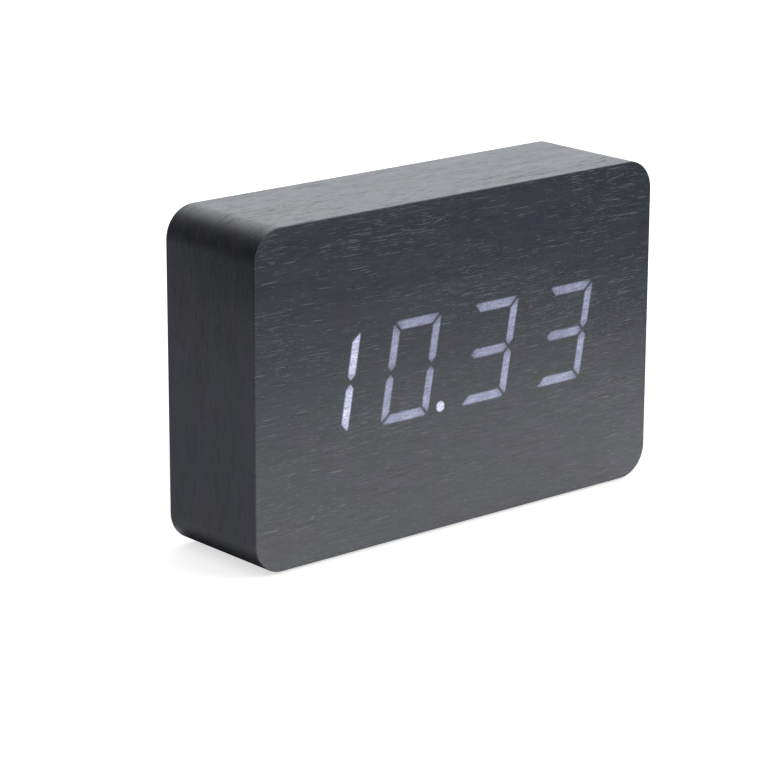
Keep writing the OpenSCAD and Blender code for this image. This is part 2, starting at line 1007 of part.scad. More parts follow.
module dc_jack() {
    color("black")
        difference() {
            union() {
                slab(control_y, boss_l - jack_top_gap)
                    translate([jack_x, jack_z])
                        square([jack_w, jack_w], center = true);
                rod([jack_x, jack_z], control_y, jack_mouth_y - control_y, jack_nose_d);
            }
            rod([jack_x, jack_z], control_y + jack_floor, body_d, jack_bore_d);
            translate([jack_x, jack_mouth_y - jack_lip, jack_z])
                rotate([-90, 0, 0])
                    cylinder(h = 2 * jack_lip, d1 = jack_bore_d, d2 = jack_bore_d + 4 * jack_lip);
            rod([jack_x, jack_z], control_y - overrun, body_d, pin_root_d + 2 * pilot_ease);
        }
}

module dc_jack_pin() {
    color("gold") {
        rod([jack_x, jack_z], control_y, jack_floor + overrun, pin_root_d);
        rod([jack_x, jack_z], control_y + jack_floor,
            jack_mouth_y - pin_sink - control_y - jack_floor, jack_pin_d);
    }
}

// Rear cover with the battery tray, the door's ledge, the bosses and the microphone ring
module rear_cover() {
    color("dimgray")
        difference() {
            union() {
                difference() {
                    union() {
                        slab(cover_in_y, cover_t)
                            translate([0, mid_z])
                                rounded(cover_w, cover_h, rebate_r - fit_gap);
                        battery_tray();
                    }
                    slab(cover_in_y, body_d)
                        translate([tray_x, mid_z])
                            rounded(door_w + 2 * fit_gap, door_h + 2 * fit_gap, door_r + fit_gap);
                }
                for (p = boss_places)
                    rod(p, control_y, boss_l + cover_t / 2, post_d);
                rod([mic_x, mid_z], cover_in_y - mic_l, mic_l + cover_t / 2,
                    mic_d + 2 * (mic_ease + mic_ring_t));
            }
            for (p = boss_places)
                rod(p, control_y - overrun, board_screw_bite + fit_gap + overrun,
                    screw_d + 2 * pilot_ease);
            for (p = cover_screw_places) {
                rod(p, cover_in_y - overrun, body_d, cover_screw_d + 2 * screw_hole_play);
                rod(p, cover_out_y - screw_head_h, body_d, screw_head_d + 2 * head_play);
            }
            for (x = button_xs)
                rod([x, button_z], cover_in_y - overrun, body_d, button_d + 2 * fit_gap);
            slab(cover_in_y - overrun, body_d)
                translate([slide_x, mid_z])
                    square([
                        slide_knob_w + slide_travel + 2 * fit_gap,
                        slide_base_w + 2 * fit_gap
                    ], center = true);
            rod([jack_x, jack_z], cover_in_y - overrun, body_d, jack_nose_d + 2 * fit_gap);
            rod([mic_x, mid_z], cover_in_y - mic_l - overrun, mic_l + overrun, mic_d + 2 * mic_ease);
            rod([mic_x, mid_z], cover_in_y - overrun, body_d, mic_hole_d);
            rod([buzzer_x, mid_z], cover_in_y - overrun, body_d, sound_hole_d);
            for (i = [1:sound_hole_count])
                rod([
                    buzzer_x + sound_ring_d / 2 * cos(i * 360 / sound_hole_count),
                    mid_z + sound_ring_d / 2 * sin(i * 360 / sound_hole_count)
                ], cover_in_y - overrun, body_d, sound_hole_d);
            slab(cover_in_y - overrun, body_d)
                for (i = [0:vent_count - 1])
                    translate([sensor_x, sensor_z + (i - (vent_count - 1) / 2) * vent_pitch])
                        rounded(vent_l, vent_w, vent_w / 2 - pilot_ease);
        }
}

// Open box for the cells, with a ledge for the door and reliefs for its hooks and its latch. It
// reaches into the cover, which cuts it off at the door's opening.
module battery_tray() {
    difference() {
        union() {
            slab(tray_floor_y - tray_floor_t, cover_in_y - tray_floor_y + tray_floor_t + cover_t / 2)
                translate([tray_x, mid_z])
                    square([tray_l, tray_in_h + 2 * tray_wall], center = true);
            slab(cover_in_y - ledge_t, ledge_t + cover_t / 2)
                translate([tray_x, mid_z])
                    square([
                        door_w + 2 * (fit_gap + ledge_lap),
                        door_h + 2 * (fit_gap + ledge_lap)
                    ], center = true);
        }
        slab(tray_floor_y, body_d)
            translate([tray_x, mid_z])
                square([tray_in_l, tray_in_h], center = true);
        for (side = [-1, 1])
            slab(cover_in_y + cover_t - hook_sweep, body_d)
                translate([tray_x + side * hook_spread / 2, door_bottom_z])
                    translate([-(hook_w / 2 + hook_play), -(hook_reach + fit_gap)])
                        square([hook_w + 2 * hook_play, hook_reach + hook_sweep + 2 * fit_gap]);
        slab(cover_in_y - latch_nose_depth - fit_gap, body_d)
            translate([tray_x - latch_w / 2 - hook_play, door_top_z - latch_nose_l - fit_gap])
                square([latch_w + 2 * hook_play, latch_nose_l + 2 * fit_gap]);
        for (i = [0, cell_count - 1])
            translate([tray_right_x - overrun, tab_y - plate_play, cell_z(i) - tab_w / 2 - plate_play])
                cube([tray_wall + 2 * overrun, plate_t + 2 * plate_play, tab_w + 2 * plate_play]);
    }
    for (i = [1:cell_count - 1])
        band(tray_left_x + plate_t + fit_gap, tray_in_l - 2 * (plate_t + fit_gap))
            translate([tray_floor_y, (cell_z(i - 1) + cell_z(i)) / 2])
                polygon([
                    [-tray_floor_t / 2, -ridge_w / 2],
                    [0, -ridge_w / 2],
                    [ridge_h, 0],
                    [0, ridge_w / 2],
                    [-tray_floor_t / 2, ridge_w / 2]
                ]);
}

module cover_screws() {
    color("silver")
        for (p = cover_screw_places)
            screw(p, cover_out_y - screw_head_h, cover_t - screw_head_h + cover_screw_bite - fit_gap,
                cover_screw_d, screw_head_d, screw_head_h);
}

// Door with two hooks at its foot, a spring latch at its top and grip grooves
module battery_door() {
    color("dimgray")
        difference() {
            union() {
                slab(cover_out_y - door_t, door_t)
                    translate([tray_x, mid_z])
                        rounded(door_w, door_h, door_r);
                for (side = [-1, 1])
                    band(tray_x + side * hook_spread / 2 - hook_w / 2, hook_w)
                        door_hook();
                slab(cover_in_y - latch_nose_depth, latch_nose_depth + cover_t / 2)
                    translate([tray_x - latch_w / 2 + latch_slot, door_top_z - latch_nose_l])
                        square([latch_w - 2 * latch_slot, latch_nose_l]);
            }
            for (side = [-1, 1])
                slab(cover_in_y - body_d / 2, body_d)
                    translate([tray_x + side * (latch_w - latch_slot) / 2, door_top_z - latch_l / 2])
                        square([latch_slot, latch_l + overrun], center = true);
            slab(cover_out_y - grip_depth, body_d)
                for (i = [0:grip_count - 1])
                    translate([tray_x, door_top_z - latch_l / 2 + (i - (grip_count - 1) / 2) * grip_pitch])
                        square([latch_w - 4 * latch_slot, grip_w], center = true);
        }
}

// Section of a hook: a neck down from the door and a toe under the cover's edge, curved about the
// door's outer lower edge, on which the door swings out
module door_hook() {
    far = 2 * hook_out_r;
    translate([cover_out_y, door_bottom_z]) {
        intersection() {
            difference() {
                circle(hook_out_r);
                circle(hook_in_r);
            }
            polygon([
                [0, 0],
                [-far, far * tan(hook_neck_angle)],
                [-far, -far * tan(hook_angle)]
            ]);
        }
        translate([-hook_in_r - hook_t / 2, 0])
            square([hook_in_r + (hook_t - door_t) / 2, hook_neck]);
    }
}

function cell_z(i) = mid_z + (i - (cell_count - 1) / 2) * cell_pitch;
// Every second cell points the other way, so that the plates join them in a row
function cell_dir(i) = i % 2 == 0 ? 1 : -1;
plate_play = 0.1;
tab_y = tray_floor_y + plate_lift;

// Children at one cell's foot, where its spring plate is, pointing along the cell
module at_spring_end(i) {
    from_x = cell_dir(i) > 0 ? tray_left_x : tray_right_x;
    translate([from_x, cell_y, cell_z(i)])
        rotate([0, cell_dir(i) * 90, 0])
            children();
}

module battery_cells() {
    color("goldenrod")
        for (i = [0:cell_count - 1])
            at_spring_end(i)
                translate([0, 0, plate_t + spring_l])
                    rotate_extrude()
                        polygon([
                            [0, 0],
                            [cell_d / 2 - can_edge, 0],
                            [cell_d / 2, can_edge],
                            [cell_d / 2, cell_l - nub_l - can_edge],
                            [cell_d / 2 - can_edge, cell_l - nub_l],
                            [nub_d / 2, cell_l - nub_l],
                            [nub_d / 2, cell_l],
                            [0, cell_l]
                        ]);
}

// Faces of a tube whose points are listed ring by ring, with both ends closed
function tube_faces(ring_count, sides) =
    let (last_ring = (ring_count - 1) * sides)
    concat(
        [
            for (ring = [0:ring_count - 2], side = [0:sides - 1])
                let (
                    next = (side + 1) % sides,
                    a = ring * sides + side,
                    b = ring * sides + next
                )
                each [[a, b, b + sides], [a, b + sides, a + sides]]
        ],
        [for (side = [1:sides - 2]) [0, side + 1, side]],
        [for (side = [1:sides - 2]) [last_ring, last_ring + side, last_ring + side + 1]]
    );

// Cone spring wound from a base ring on its plate to a narrow ring on the cell
function spring_point(step, side, steps) =
    let (
        along = step / steps,
        turn = 360 * spring_turns * along,
        r = (spring_base_d * (1 - along) + spring_tip_d * along - wire_d) / 2,
        rise = wire_d / 2 + (spring_l - wire_d) * along,
        round = 360 * side / spring_sides,
        out = r + wire_d / 2 * cos(round)
    )
    [out * cos(turn), out * sin(turn), rise + wire_d / 2 * sin(round)];

module cone_spring() {
    steps = spring_turns * spring_ring_steps;
    points = [
        for (step = [0:steps], side = [0:spring_sides - 1]) spring_point(step, side, steps)
    ];
    polyhedron(points, tube_faces(steps + 1, spring_sides));
}

module battery_springs() {
    color("silver")
        for (i = [0:cell_count - 1])
            at_spring_end(i)
                translate([0, 0, plate_t])
                    cone_spring();
}

// Contact plates at both ends: pairs join two cells, and the two single ones have a tab for a lead
module battery_plates() {
    color("silver") {
        for (i = [0:2:cell_count - 2])
            contact_plate(tray_left_x, i, i + 1);
        for (i = [1:2:cell_count - 2])
            contact_plate(tray_right_x - plate_t, i, i + 1);
        for (i = [0, cell_count - 1]) {
            contact_plate(tray_right_x - plate_t, i, i);
            translate([tray_right_x - plate_t, tab_y, cell_z(i) - tab_w / 2])
                cube([plate_t + tray_wall + tab_l, plate_t, tab_w]);
        }
    }
}

module contact_plate(x, first, last) {
    translate([x, tab_y, cell_z(first) - plate_w / 2])
        cube([plate_t, plate_h, cell_z(last) - cell_z(first) + plate_w]);
}

// A lead from each single plate's tab forward, across and back to the front of the control board.
// Its rings are [place in X and Y, turn of the ring], swept at one height.
function lead_rings() =
    let (
        from_x = tray_right_x + tray_wall + tab_l / 2,
        to_x = control_x - control_w / 2 + lead_pad_inset,
        bend_y = min(tab_y, control_front_y) - lead_straight
    )
    concat(
        [[[from_x, tab_y], 180]],
        lead_bend(from_x + lead_bend_r, bend_y, 180),
        lead_bend(to_x - lead_bend_r, bend_y, 270),
        [[[to_x, control_front_y], 360]]
    );

function lead_bend(x, y, from_turn) = [
    for (i = [0:lead_bend_steps])
        let (turn = from_turn + 90 * i / lead_bend_steps)
        [[x + lead_bend_r * cos(turn), y + lead_bend_r * sin(turn)], turn]
];

function ring_point(ring, side) =
    let (
        round = 360 * side / lead_sides,
        out = lead_d / 2 * cos(round)
    )
    [
        ring[0][0] + out * cos(ring[1]),
        ring[0][1] + out * sin(ring[1]),
        lead_d / 2 * sin(round)
    ];

module lead() {
    rings = lead_rings();
    points = [for (ring = rings, side = [0:lead_sides - 1]) ring_point(ring, side)];
    polyhedron(points, tube_faces(len(rings), lead_sides));
}

module battery_leads() {
    color("red")
        for (i = [0, cell_count - 1])
            translate([0, 0, cell_z(i)])
                lead();
}

case_body();
wrap_veneer();
front_veneer();
lit_segments();
rubber_feet();
segment_reflector();
segment_lenses();
segment_leds();
display_board();
display_screws();
driver_chips();
display_header();
display_ribbon();
control_board();
control_board_screws();
control_header();
clock_chip();
crystal();
capacitors();
temperature_sensor();
microphone();
buzzer();
tact_switches();
set_plunger();
down_plunger();
up_plunger();
set_button();
down_button();
up_button();
alarm_switch_body();
alarm_switch_knob();
dc_jack();
dc_jack_pin();
rear_cover();
cover_screws();
battery_door();
battery_cells();
battery_springs();
battery_plates();
battery_leads();
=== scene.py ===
"""Looks for the veneered block alarm clock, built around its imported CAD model.

Lengths are in metres. X runs to the right, Y from the front to the rear, Z up.
"""
import json
import math

import bmesh
import bpy
from mathutils import Matrix, Vector

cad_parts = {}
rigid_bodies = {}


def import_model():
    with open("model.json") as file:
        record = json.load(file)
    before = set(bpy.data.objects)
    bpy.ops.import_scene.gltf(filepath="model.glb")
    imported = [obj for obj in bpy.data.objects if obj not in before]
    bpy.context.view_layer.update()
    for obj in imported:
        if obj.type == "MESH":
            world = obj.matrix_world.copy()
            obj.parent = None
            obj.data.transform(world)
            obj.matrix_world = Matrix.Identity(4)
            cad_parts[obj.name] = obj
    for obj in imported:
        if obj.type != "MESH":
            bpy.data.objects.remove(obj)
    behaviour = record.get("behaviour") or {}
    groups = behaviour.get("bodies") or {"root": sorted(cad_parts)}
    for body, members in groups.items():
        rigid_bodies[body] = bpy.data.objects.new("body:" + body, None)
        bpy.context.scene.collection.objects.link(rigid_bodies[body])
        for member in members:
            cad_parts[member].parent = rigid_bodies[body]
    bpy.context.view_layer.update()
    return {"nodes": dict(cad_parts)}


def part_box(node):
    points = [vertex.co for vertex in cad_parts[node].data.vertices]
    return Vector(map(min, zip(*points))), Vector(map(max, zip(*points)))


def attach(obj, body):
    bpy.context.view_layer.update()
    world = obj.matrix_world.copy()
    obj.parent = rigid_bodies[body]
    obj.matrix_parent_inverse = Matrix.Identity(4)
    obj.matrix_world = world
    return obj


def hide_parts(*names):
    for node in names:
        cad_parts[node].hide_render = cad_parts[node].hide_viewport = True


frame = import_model()

MM = 0.001

# The photograph's camera
AZIMUTH = math.radians(-40.8545)
ELEVATION = math.radians(16.1294)
ROLL = math.radians(0.2389)
DISTANCE = 0.930709
TARGET = Vector((-0.010232, 0, 0.039214))
LENS = 145.144
SENSOR = 36
CLIP_START = 0.05
CLIP_END = 10

# The block, as the CAD has it
HALF_W = 77 * MM
HALF_D = 20 * MM
CORNER_R = 9.5 * MM
CORNER_STEPS = 20
VENEER_T = 0.6 * MM
# Roundings of the veneer's outer edges, and of the seam between its two sheets
EDGE_ROUND = 0.3 * MM
SEAM_ROUND = 0.05 * MM
# Narrow strips beside each rounding keep the shading of the flat faces flat
GUARD = 0.15 * MM

# Meshes: points this close are one, and faces that meet flatter than this are shaded smooth
WELD = 0.001 * MM
SMOOTH_ANGLE = math.radians(40)
CELL_SMOOTH_ANGLE = math.radians(35)
# Places are compared in steps of a ten-millionth of a metre
STEPS_PER_METRE = 1e7

# Sideways lean of the digits for each unit of height
LEAN = 0.175
# An outline with more points than a segment can have is the round dot's
SEGMENT_POINTS = 10
# A segment's blunt tip is an edge shorter than this, level or leaning but for a slack, and is
# drawn out by a share of the way to its point
TIP_WIDTH = 1.2 * MM
TIP_SLACK = 0.02 * MM
TIP_SHARE = 0.8

# Strength of the light through the veneer
DIGIT_POWER = 0.37
FIRST_DIGIT_POWER = 0.71
DOT_POWER = 0.84
# The first digit ends left of here
FIRST_DIGIT_END = -0.0355
# The segments that end below the middle of the digits, but for a slack, are that much brighter
LOWER_LIFT = 1.10
LOWER_SLACK = 0.3 * MM
# A lit segment fades over its outermost part, in mm, to a share of its power. RIM_FAR is a
# distance, in mm, at which nothing fades.
RIM_WIDTH = 0.50
RIM_SHARE = 0.30
RIM_FAR = 9.0
GLOW_DIM = (0.66, 0.67, 1.0)
GLOW_BRIGHT = (0.82, 0.81, 1.0)

# Tint of the stain on the front sheet and on the strip round the sides
FRONT_STAIN = (0.72, 0.88, 1.04)
WRAP_STAIN = (0.94, 0.98, 1.08)
# The stain is patchy: the two ends of its drift in colour
WARM_PATCH = (1.26, 0.93, 1.08)
COOL_PATCH = (0.88, 1.04, 0.96)
# The strip comes from another place in the wood than the front sheet, along and across the grain
WRAP_CUT = (1.7, 0.31)
# Colours of the wood, before the stain's tint, and of the pores at the foot of the front sheet. At
# the foot the fibres and pores are paler: painted light of the table top's reflection, over the
# wood's own grain.
WOOD_DARK = (0.0088, 0.0116, 0.0180)
WOOD_PALE = (0.0155, 0.0188, 0.0265)
WOOD_BANDS = (0.0205, 0.0232, 0.0305)
WOOD_STROKES = (0.0050, 0.0065, 0.0100)
FIBRES_ABOVE = (0.0275, 0.0305, 0.0385)
FIBRES_AND_PAINTED_LIGHT_BELOW = (0.060, 0.062, 0.068)
FIGURE_PALE = (0.042, 0.044, 0.050)
FIGURE_DARK = (0.0044, 0.0050, 0.0070)
PORES_AND_PAINTED_LIGHT_BELOW = (0.130, 0.133, 0.143)
PORE_DEPTH = 0.045 * MM
# Streaks in the wood and its pores, as length and width of a streak, and a seed
CLOUDS = (9 * MM, 2.4 * MM, 1.3)
BANDS = (60 * MM, 2.0 * MM, 2.9)
CROWDING = (24 * MM, 6 * MM, 4.7)
FIBRES = (2.4 * MM, 0.17 * MM, 6.1)
FIGURE = (4.5 * MM, 0.42 * MM, 8.3)
DASHES = (4.2 * MM, 0.19 * MM, 3.1)
SHORT_DASHES = (2.7 * MM, 0.17 * MM, 17.3)
FINE_DASHES = (1.4 * MM, 0.15 * MM, 7.7)
LONG_LINES = (9 * MM, 0.20 * MM, 9.9)
STROKE_WIDTH = 0.24 * MM
STROKE_SEED = 12.3

# Sharp edges of the CAD's own meshes are shaded as if rounded by this much
PLASTIC_EDGE = 0.10 * MM
METAL_EDGE = 0.08 * MM
FIBREBOARD_EDGE = 0.15 * MM

# Copies of CAD nodes: faces that meet flatter than the first angle become one, and folds sharper
# than the second are rounded, but for chains that hold an edge shorter than the length
FLAT_ANGLE = math.radians(1)
FOLD_ANGLE = math.radians(35)
SHORTEST_EDGE = 0.12 * MM
# An edge lies at a level if both its ends are this close to it
LEVEL_SLACK = 0.01 * MM

# Marks in relief: how deep they are let into the rear cover, and their height
MARK_SUNK = 0.05 * MM
MARK_HEIGHT = 0.20 * MM
# Above the buttons, as (corners, turn in degrees, radius and width in mm)
MARK_RISE = 2.6 * MM
BUTTON_MARKS = {"set_button": (40, 0, 1.25, 0.38), "down_button": (3, -90, 1.7, 0.76),
                "up_button": (3, 90, 1.7, 0.76)}
# Above the ends of the slide switch, a ring and a bar, as their outer and inner sizes
SWITCH_MARK_RISE = 2.4 * MM
SWITCH_RING = (0.85 * MM, 0.55 * MM)
SWITCH_RING_SIDES = 32
SWITCH_RING_ASIDE = 1.3 * MM
SWITCH_BAR = ((0.20 * MM, 0.85 * MM), (0.04 * MM, 0.69 * MM))
SWITCH_BAR_ASIDE = 0.9 * MM

# Section of a cell from its nub, in mm, as (distance, radius, material of the next strip)
CELL_SECTION = [
    (0.00, 0.0, 0), (0.00, 1.55, 0), (0.10, 1.80, 0), (0.35, 1.90, 0), (1.20, 1.90, 0),
    (1.35, 2.30, 0), (1.35, 3.90, 0), (1.20, 4.10, 1), (1.20, 4.45, 1), (1.38, 4.90, 1),
    (1.80, 5.20, 1), (2.40, 5.25, 1), (10.2, 5.25, 1), (10.2, 5.25, 2), (43.2, 5.25, 2),
    (43.5, 5.22, 2), (43.5, 5.12, 0), (43.9, 5.02, 0), (44.3, 4.70, 0), (44.5, 4.30, 0),
    (44.5, 3.40, 0), (44.35, 3.25, 0), (44.35, 0.0, 0),
]
CELL_SIDES = 64
# A cell's end is its nub if no point within the slack of it is further from the axis than this
NUB_REACH = 3 * MM
END_SLACK = 0.1 * MM

# In reflections, the table top carries a painted shade of the block, which ends this far beside,
# before and behind it
SHADE_BESIDE = 16 * MM
SHADE_BEFORE = 1.5 * MM
SHADE_BEHIND = 6 * MM
FLOOR_RADIUS = 1.6
# Cards on the table top lie this high, and reach this far towards its rim
CARD_HEIGHT = 0.4 * MM
CARD_REACH = 1.5
# Strength of the world's light on the object. The camera and reflections see it as white.
WORLD_LEVEL = 0.55


# Small building blocks for materials and the world

class Graph:
    """The nodes of a material or world, built by short calls."""

    def __init__(self, owner, kind):
        owner.use_nodes = True
        self.owner = owner
        self.nodes = owner.node_tree.nodes
        self.links = owner.node_tree.links
        self.nodes.clear()
        self.output = self.nodes.new("ShaderNodeOutput" + kind)

    def put(self, socket, value):
        """Link or set a socket. Colours are given without alpha."""
        if isinstance(value, bpy.types.NodeSocket):
            self.links.new(value, socket)
        elif socket.type == "RGBA":
            socket.default_value = (*value, 1.0)
        else:
            socket.default_value = value

    def add(self, kind, props=None, **sockets):
        node = self.nodes.new("ShaderNode" + kind)
        for key, value in (props or {}).items():
            setattr(node, key, value)
        for key, value in sockets.items():
            self.put(node.inputs[key.replace("_", " ")], value)
        return node

    def numbered(self, kind, props, *values):
        """Add a node whose first sockets are set in their order."""
        node = self.add(kind, props)
        for socket, value in zip(node.inputs, values):
            self.put(socket, value)
        return node.outputs[0]

    def math(self, operation, *values):
        return self.numbered("Math", {"operation": operation}, *values)

    def scaled(self, place, factors):
        return self.numbered("VectorMath", {"operation": "MULTIPLY"}, place, factors)

    def moved(self, place, offset):
        return self.numbered("VectorMath", {"operation": "ADD"}, place, offset)

    def ramp(self, value, low, high, to_low=0.0, to_high=1.0, smooth=True):
        props = {"interpolation_type": "SMOOTHSTEP" if smooth else "LINEAR"}
        return self.numbered("MapRange", props, value, low, high, to_low, to_high)

    def mix(self, share, first, second):
        node = self.add("Mix", {"data_type": "RGBA"})
        for index, value in ((0, share), (6, first), (7, second)):
            self.put(node.inputs[index], value)
        return node.outputs[2]

    def parts(self, vector):
        return list(self.add("SeparateXYZ", Vector=vector).outputs)

    def object_place(self):
        return self.add("TexCoord").outputs["Object"]

    def attribute(self, name):
        return self.add("Attribute", {"attribute_name": name}).outputs["Vector"]

    def noise(self, place, scale=1.0, detail=2.0, roughness=0.5):
        node = self.add("TexNoise", Vector=place, Scale=scale, Detail=detail, Roughness=roughness)
        return node.outputs[0]

    def bump(self, height, distance, normal=None):
        node = self.add("Bump", Height=height, Distance=distance)
        if normal is not None:
            self.put(node.inputs["Normal"], normal)
        return node.outputs[0]

    def rounded_edges(self, radius):
        return self.add("Bevel", {"samples": 4}, Radius=radius).outputs[0]

    def finish(self, kind, **sockets):
        """Close the graph with a shader and return the material or world."""
        shader = self.add(kind, **sockets)
        self.links.new(shader.outputs[0], self.output.inputs["Surface"])
        return self.owner

    def surface(self, **sockets):
        return self.finish("BsdfPrincipled", **sockets)


def material_graph(name):
    return Graph(bpy.data.materials.new(name), "Material")


def grey(value):
    return (value, value, value)


def cool_grey(value):
    return (value * 0.97, value * 0.99, value * 1.06)


# Veneer: stained, open-pored wood. Its coordinates run along and across the grain, in metres.

def bent_grain(g):
    """The grain's place, bent a little so that the fibres wander."""
    place = g.attribute("grain")
    along, across, _ = g.parts(place)
    wave = g.noise(g.scaled(place, (7, 24, 1)), detail=1)
    ripple = g.noise(g.scaled(place, (60, 120, 1)), detail=1)
    shift = g.math("MULTIPLY_ADD", wave, 6.0 * MM, g.math("MULTIPLY", ripple, 0.5 * MM))
    return g.add("CombineXYZ", X=along, Y=g.math("ADD", across, shift)).outputs[0]


def streaks(g, place, length, width, seed, detail=1.0, roughness=0.5):
    """Noise drawn out along the grain into streaks of about a length and a width."""
    spot = g.scaled(place, (0.5 / length, 0.5 / width, 0))
    return g.noise(g.moved(spot, (seed, seed * 0.37, seed * 0.11)), detail=detail,
                   roughness=roughness)


def pore_mask(g, place, low, lower):
    """Open pores: thin dashes along the grain where their noise is above a level that varies.
    Towards the foot of the front sheet, more of them are fine."""
    high = g.math("ADD", low, 0.08)
    fine_low = g.math("MULTIPLY_ADD", lower, -0.085, low)
    fine_high = g.math("ADD", fine_low, 0.10)
    line_low = g.math("ADD", low, 0.02)
    strength = 0.0
    for size, start, end, share in ((DASHES, low, high, 1.0), (SHORT_DASHES, low, high, 0.65),
                                    (FINE_DASHES, fine_low, fine_high, 0.6),
                                    (LONG_LINES, line_low, high, 0.6)):
        layer = g.math("MULTIPLY", g.ramp(streaks(g, place, *size), start, end), share)
        strength = g.math("MAXIMUM", strength, layer)
    return strength


def veneer(name, pore_tone, stain, stroke_share, stroke_length, polish):
    """Colour, roughness and relief of the stained veneer, and what the lit skins need of them.

    The stain tints the wood. Towards the foot of the front sheet the pores and fibres are painted
    paler, for the light of the table top's reflection there; the pores are also shallower and
    finer, and the wood has more figure. stroke_share and stroke_length are the strength and length
    of the dark strokes between the pores, and polish the plain wood's roughness."""
    g = material_graph(name)
    place = bent_grain(g)
    clouds = streaks(g, place, *CLOUDS, detail=2)
    bands = streaks(g, place, *BANDS, detail=2)
    crowding = streaks(g, place, *CROWDING)
    fibres = streaks(g, place, *FIBRES, detail=3, roughness=0.6)
    figure = streaks(g, place, *FIGURE, detail=3, roughness=0.62)
    strokes = g.ramp(streaks(g, place, stroke_length, STROKE_WIDTH, STROKE_SEED),
                     0.60, 0.71, 0.0, stroke_share)
    patches = g.ramp(g.noise(g.scaled(place, (55, 150, 1)), detail=2), 0.36, 0.62, 0.35, 1.0)
    drift = g.ramp(g.noise(g.scaled(place, (38, 70, 1)), detail=2), 0.38, 0.62)
    height = g.parts(place)[1]
    upper = g.ramp(height, 0.030, 0.075)
    lower = g.math("SUBTRACT", 1.0, upper)
    level = g.math("MULTIPLY_ADD", crowding, -0.17, g.ramp(height, 0.02, 0.07, 0.772, 0.768))
    pores = pore_mask(g, place, level, lower)

    wood = g.mix(g.ramp(clouds, 0.30, 0.70), WOOD_DARK, WOOD_PALE)
    wood = g.mix(g.ramp(bands, 0.35, 0.75, 0.0, 0.6), wood, WOOD_BANDS)
    # Paler fibres towards the foot of the front sheet: painted light of the table top's reflection
    # there
    fibre_tone = g.mix(upper, FIBRES_AND_PAINTED_LIGHT_BELOW, FIBRES_ABOVE)
    wood = g.mix(g.ramp(fibres, 0.40, 0.75, 0.0, 0.5), wood, fibre_tone)
    figured = g.math("MULTIPLY", lower, patches)
    for end, tone in ((0.66, FIGURE_PALE), (0.34, FIGURE_DARK)):
        wood = g.mix(g.math("MULTIPLY", g.ramp(figure, 0.46, end), figured), wood, tone)
    wood = g.mix(strokes, wood, WOOD_STROKES)
    warm, cool = (tuple(a * b for a, b in zip(stain, patch)) for patch in (WARM_PATCH, COOL_PATCH))
    wood = g.scaled(wood, g.mix(drift, warm, cool))
    # Paler pores towards the foot of the front sheet: painted light of the table top's reflection
    # there
    colour = g.mix(pores, wood, g.mix(upper, PORES_AND_PAINTED_LIGHT_BELOW, pore_tone))

    rough = g.math("MULTIPLY_ADD", pores, g.ramp(upper, 0.0, 1.0, 0.16, 0.42), polish)
    rough = g.math("MULTIPLY_ADD", fibres, 0.20, rough)
    rough = g.math("MULTIPLY_ADD", strokes, 0.20, rough)
    rough = g.math("ADD", rough, g.ramp(bands, 0.3, 0.7, -0.016, 0.016))
    relief = g.math("MULTIPLY", pores, g.ramp(upper, 0.0, 1.0, -0.4, -1.0))
    relief = g.math("MULTIPLY_ADD", fibres, 0.32, relief)
    relief = g.math("MULTIPLY_ADD", strokes, -0.5, relief)
    return g, colour, rough, g.bump(relief, PORE_DEPTH), fibres


def veneer_material(name, **look):
    g, colour, rough, normal, _ = veneer(name, **look)
    return g.surface(Base_Color=colour, Roughness=rough, Normal=normal, Specular_IOR_Level=1.0)


def glow_material():
    """Lit skin of the veneer. It dims towards a segment's ends and rims, and its grain shows."""
    g, colour, rough, normal, fibres = veneer(
        "veneer_lit_from_behind", pore_tone=(0.05, 0.05, 0.06), stain=FRONT_STAIN,
        stroke_share=0.3, stroke_length=6 * MM, polish=0.33)
    along, across, power = g.parts(g.attribute("lamp"))
    spread = g.math("MULTIPLY", g.ramp(g.math("ABSOLUTE", along), 0.50, 1.02, 1.04, 0.56),
                    g.ramp(g.math("ABSOLUTE", across), 0.55, 1.04, 1.0, 0.55))
    nearest, *others = g.parts(g.attribute("rim_a")) + g.parts(g.attribute("rim_b"))
    for rim in others:
        nearest = g.math("MINIMUM", nearest, rim)
    spread = g.math("MULTIPLY", spread, g.ramp(nearest, 0.0, RIM_WIDTH, RIM_SHARE, 1.0))
    place = g.object_place()
    specks = g.noise(g.scaled(place, (1, 1, 0.5)), 2400, detail=2)
    cloud = g.noise(place, 260, detail=1)
    mottle = g.math("MULTIPLY", g.ramp(specks, 0.34, 0.66, 0.76, 1.20),
                    g.ramp(cloud, 0.3, 0.7, 0.86, 1.12))
    mottle = g.math("MULTIPLY", mottle, g.ramp(fibres, 0.3, 0.7, 0.80, 1.16))
    power = g.math("MULTIPLY", g.math("MULTIPLY", power, spread), mottle)
    glow = g.mix(g.ramp(power, 0.4, 1.0), GLOW_DIM, GLOW_BRIGHT)
    return g.surface(Base_Color=colour, Roughness=rough, Normal=normal, Specular_IOR_Level=1.0,
                     Emission_Color=glow, Emission_Strength=power)


# Plastics, metals, rubber, boards

def moulded_plastic(name, colour, rough, grain=0.20 * MM, depth=0.012 * MM):
    """Moulded plastic with a fine spark-eroded grain and slightly uneven gloss."""
    g = material_graph(name)
    place = g.object_place()
    fine = g.noise(place, 1 / grain, detail=2)
    cloud = g.noise(place, 90, detail=2)
    tint = g.add("VectorMath", {"operation": "SCALE"}, Scale=g.ramp(cloud, 0.3, 0.7, 0.92, 1.08))
    g.put(tint.inputs[0], colour)
    roughness = g.math("MULTIPLY_ADD", cloud, 0.10, rough - 0.05)
    return g.surface(Base_Color=tint.outputs[0], Roughness=roughness,
                     Normal=g.bump(fine, depth, g.rounded_edges(PLASTIC_EDGE)))


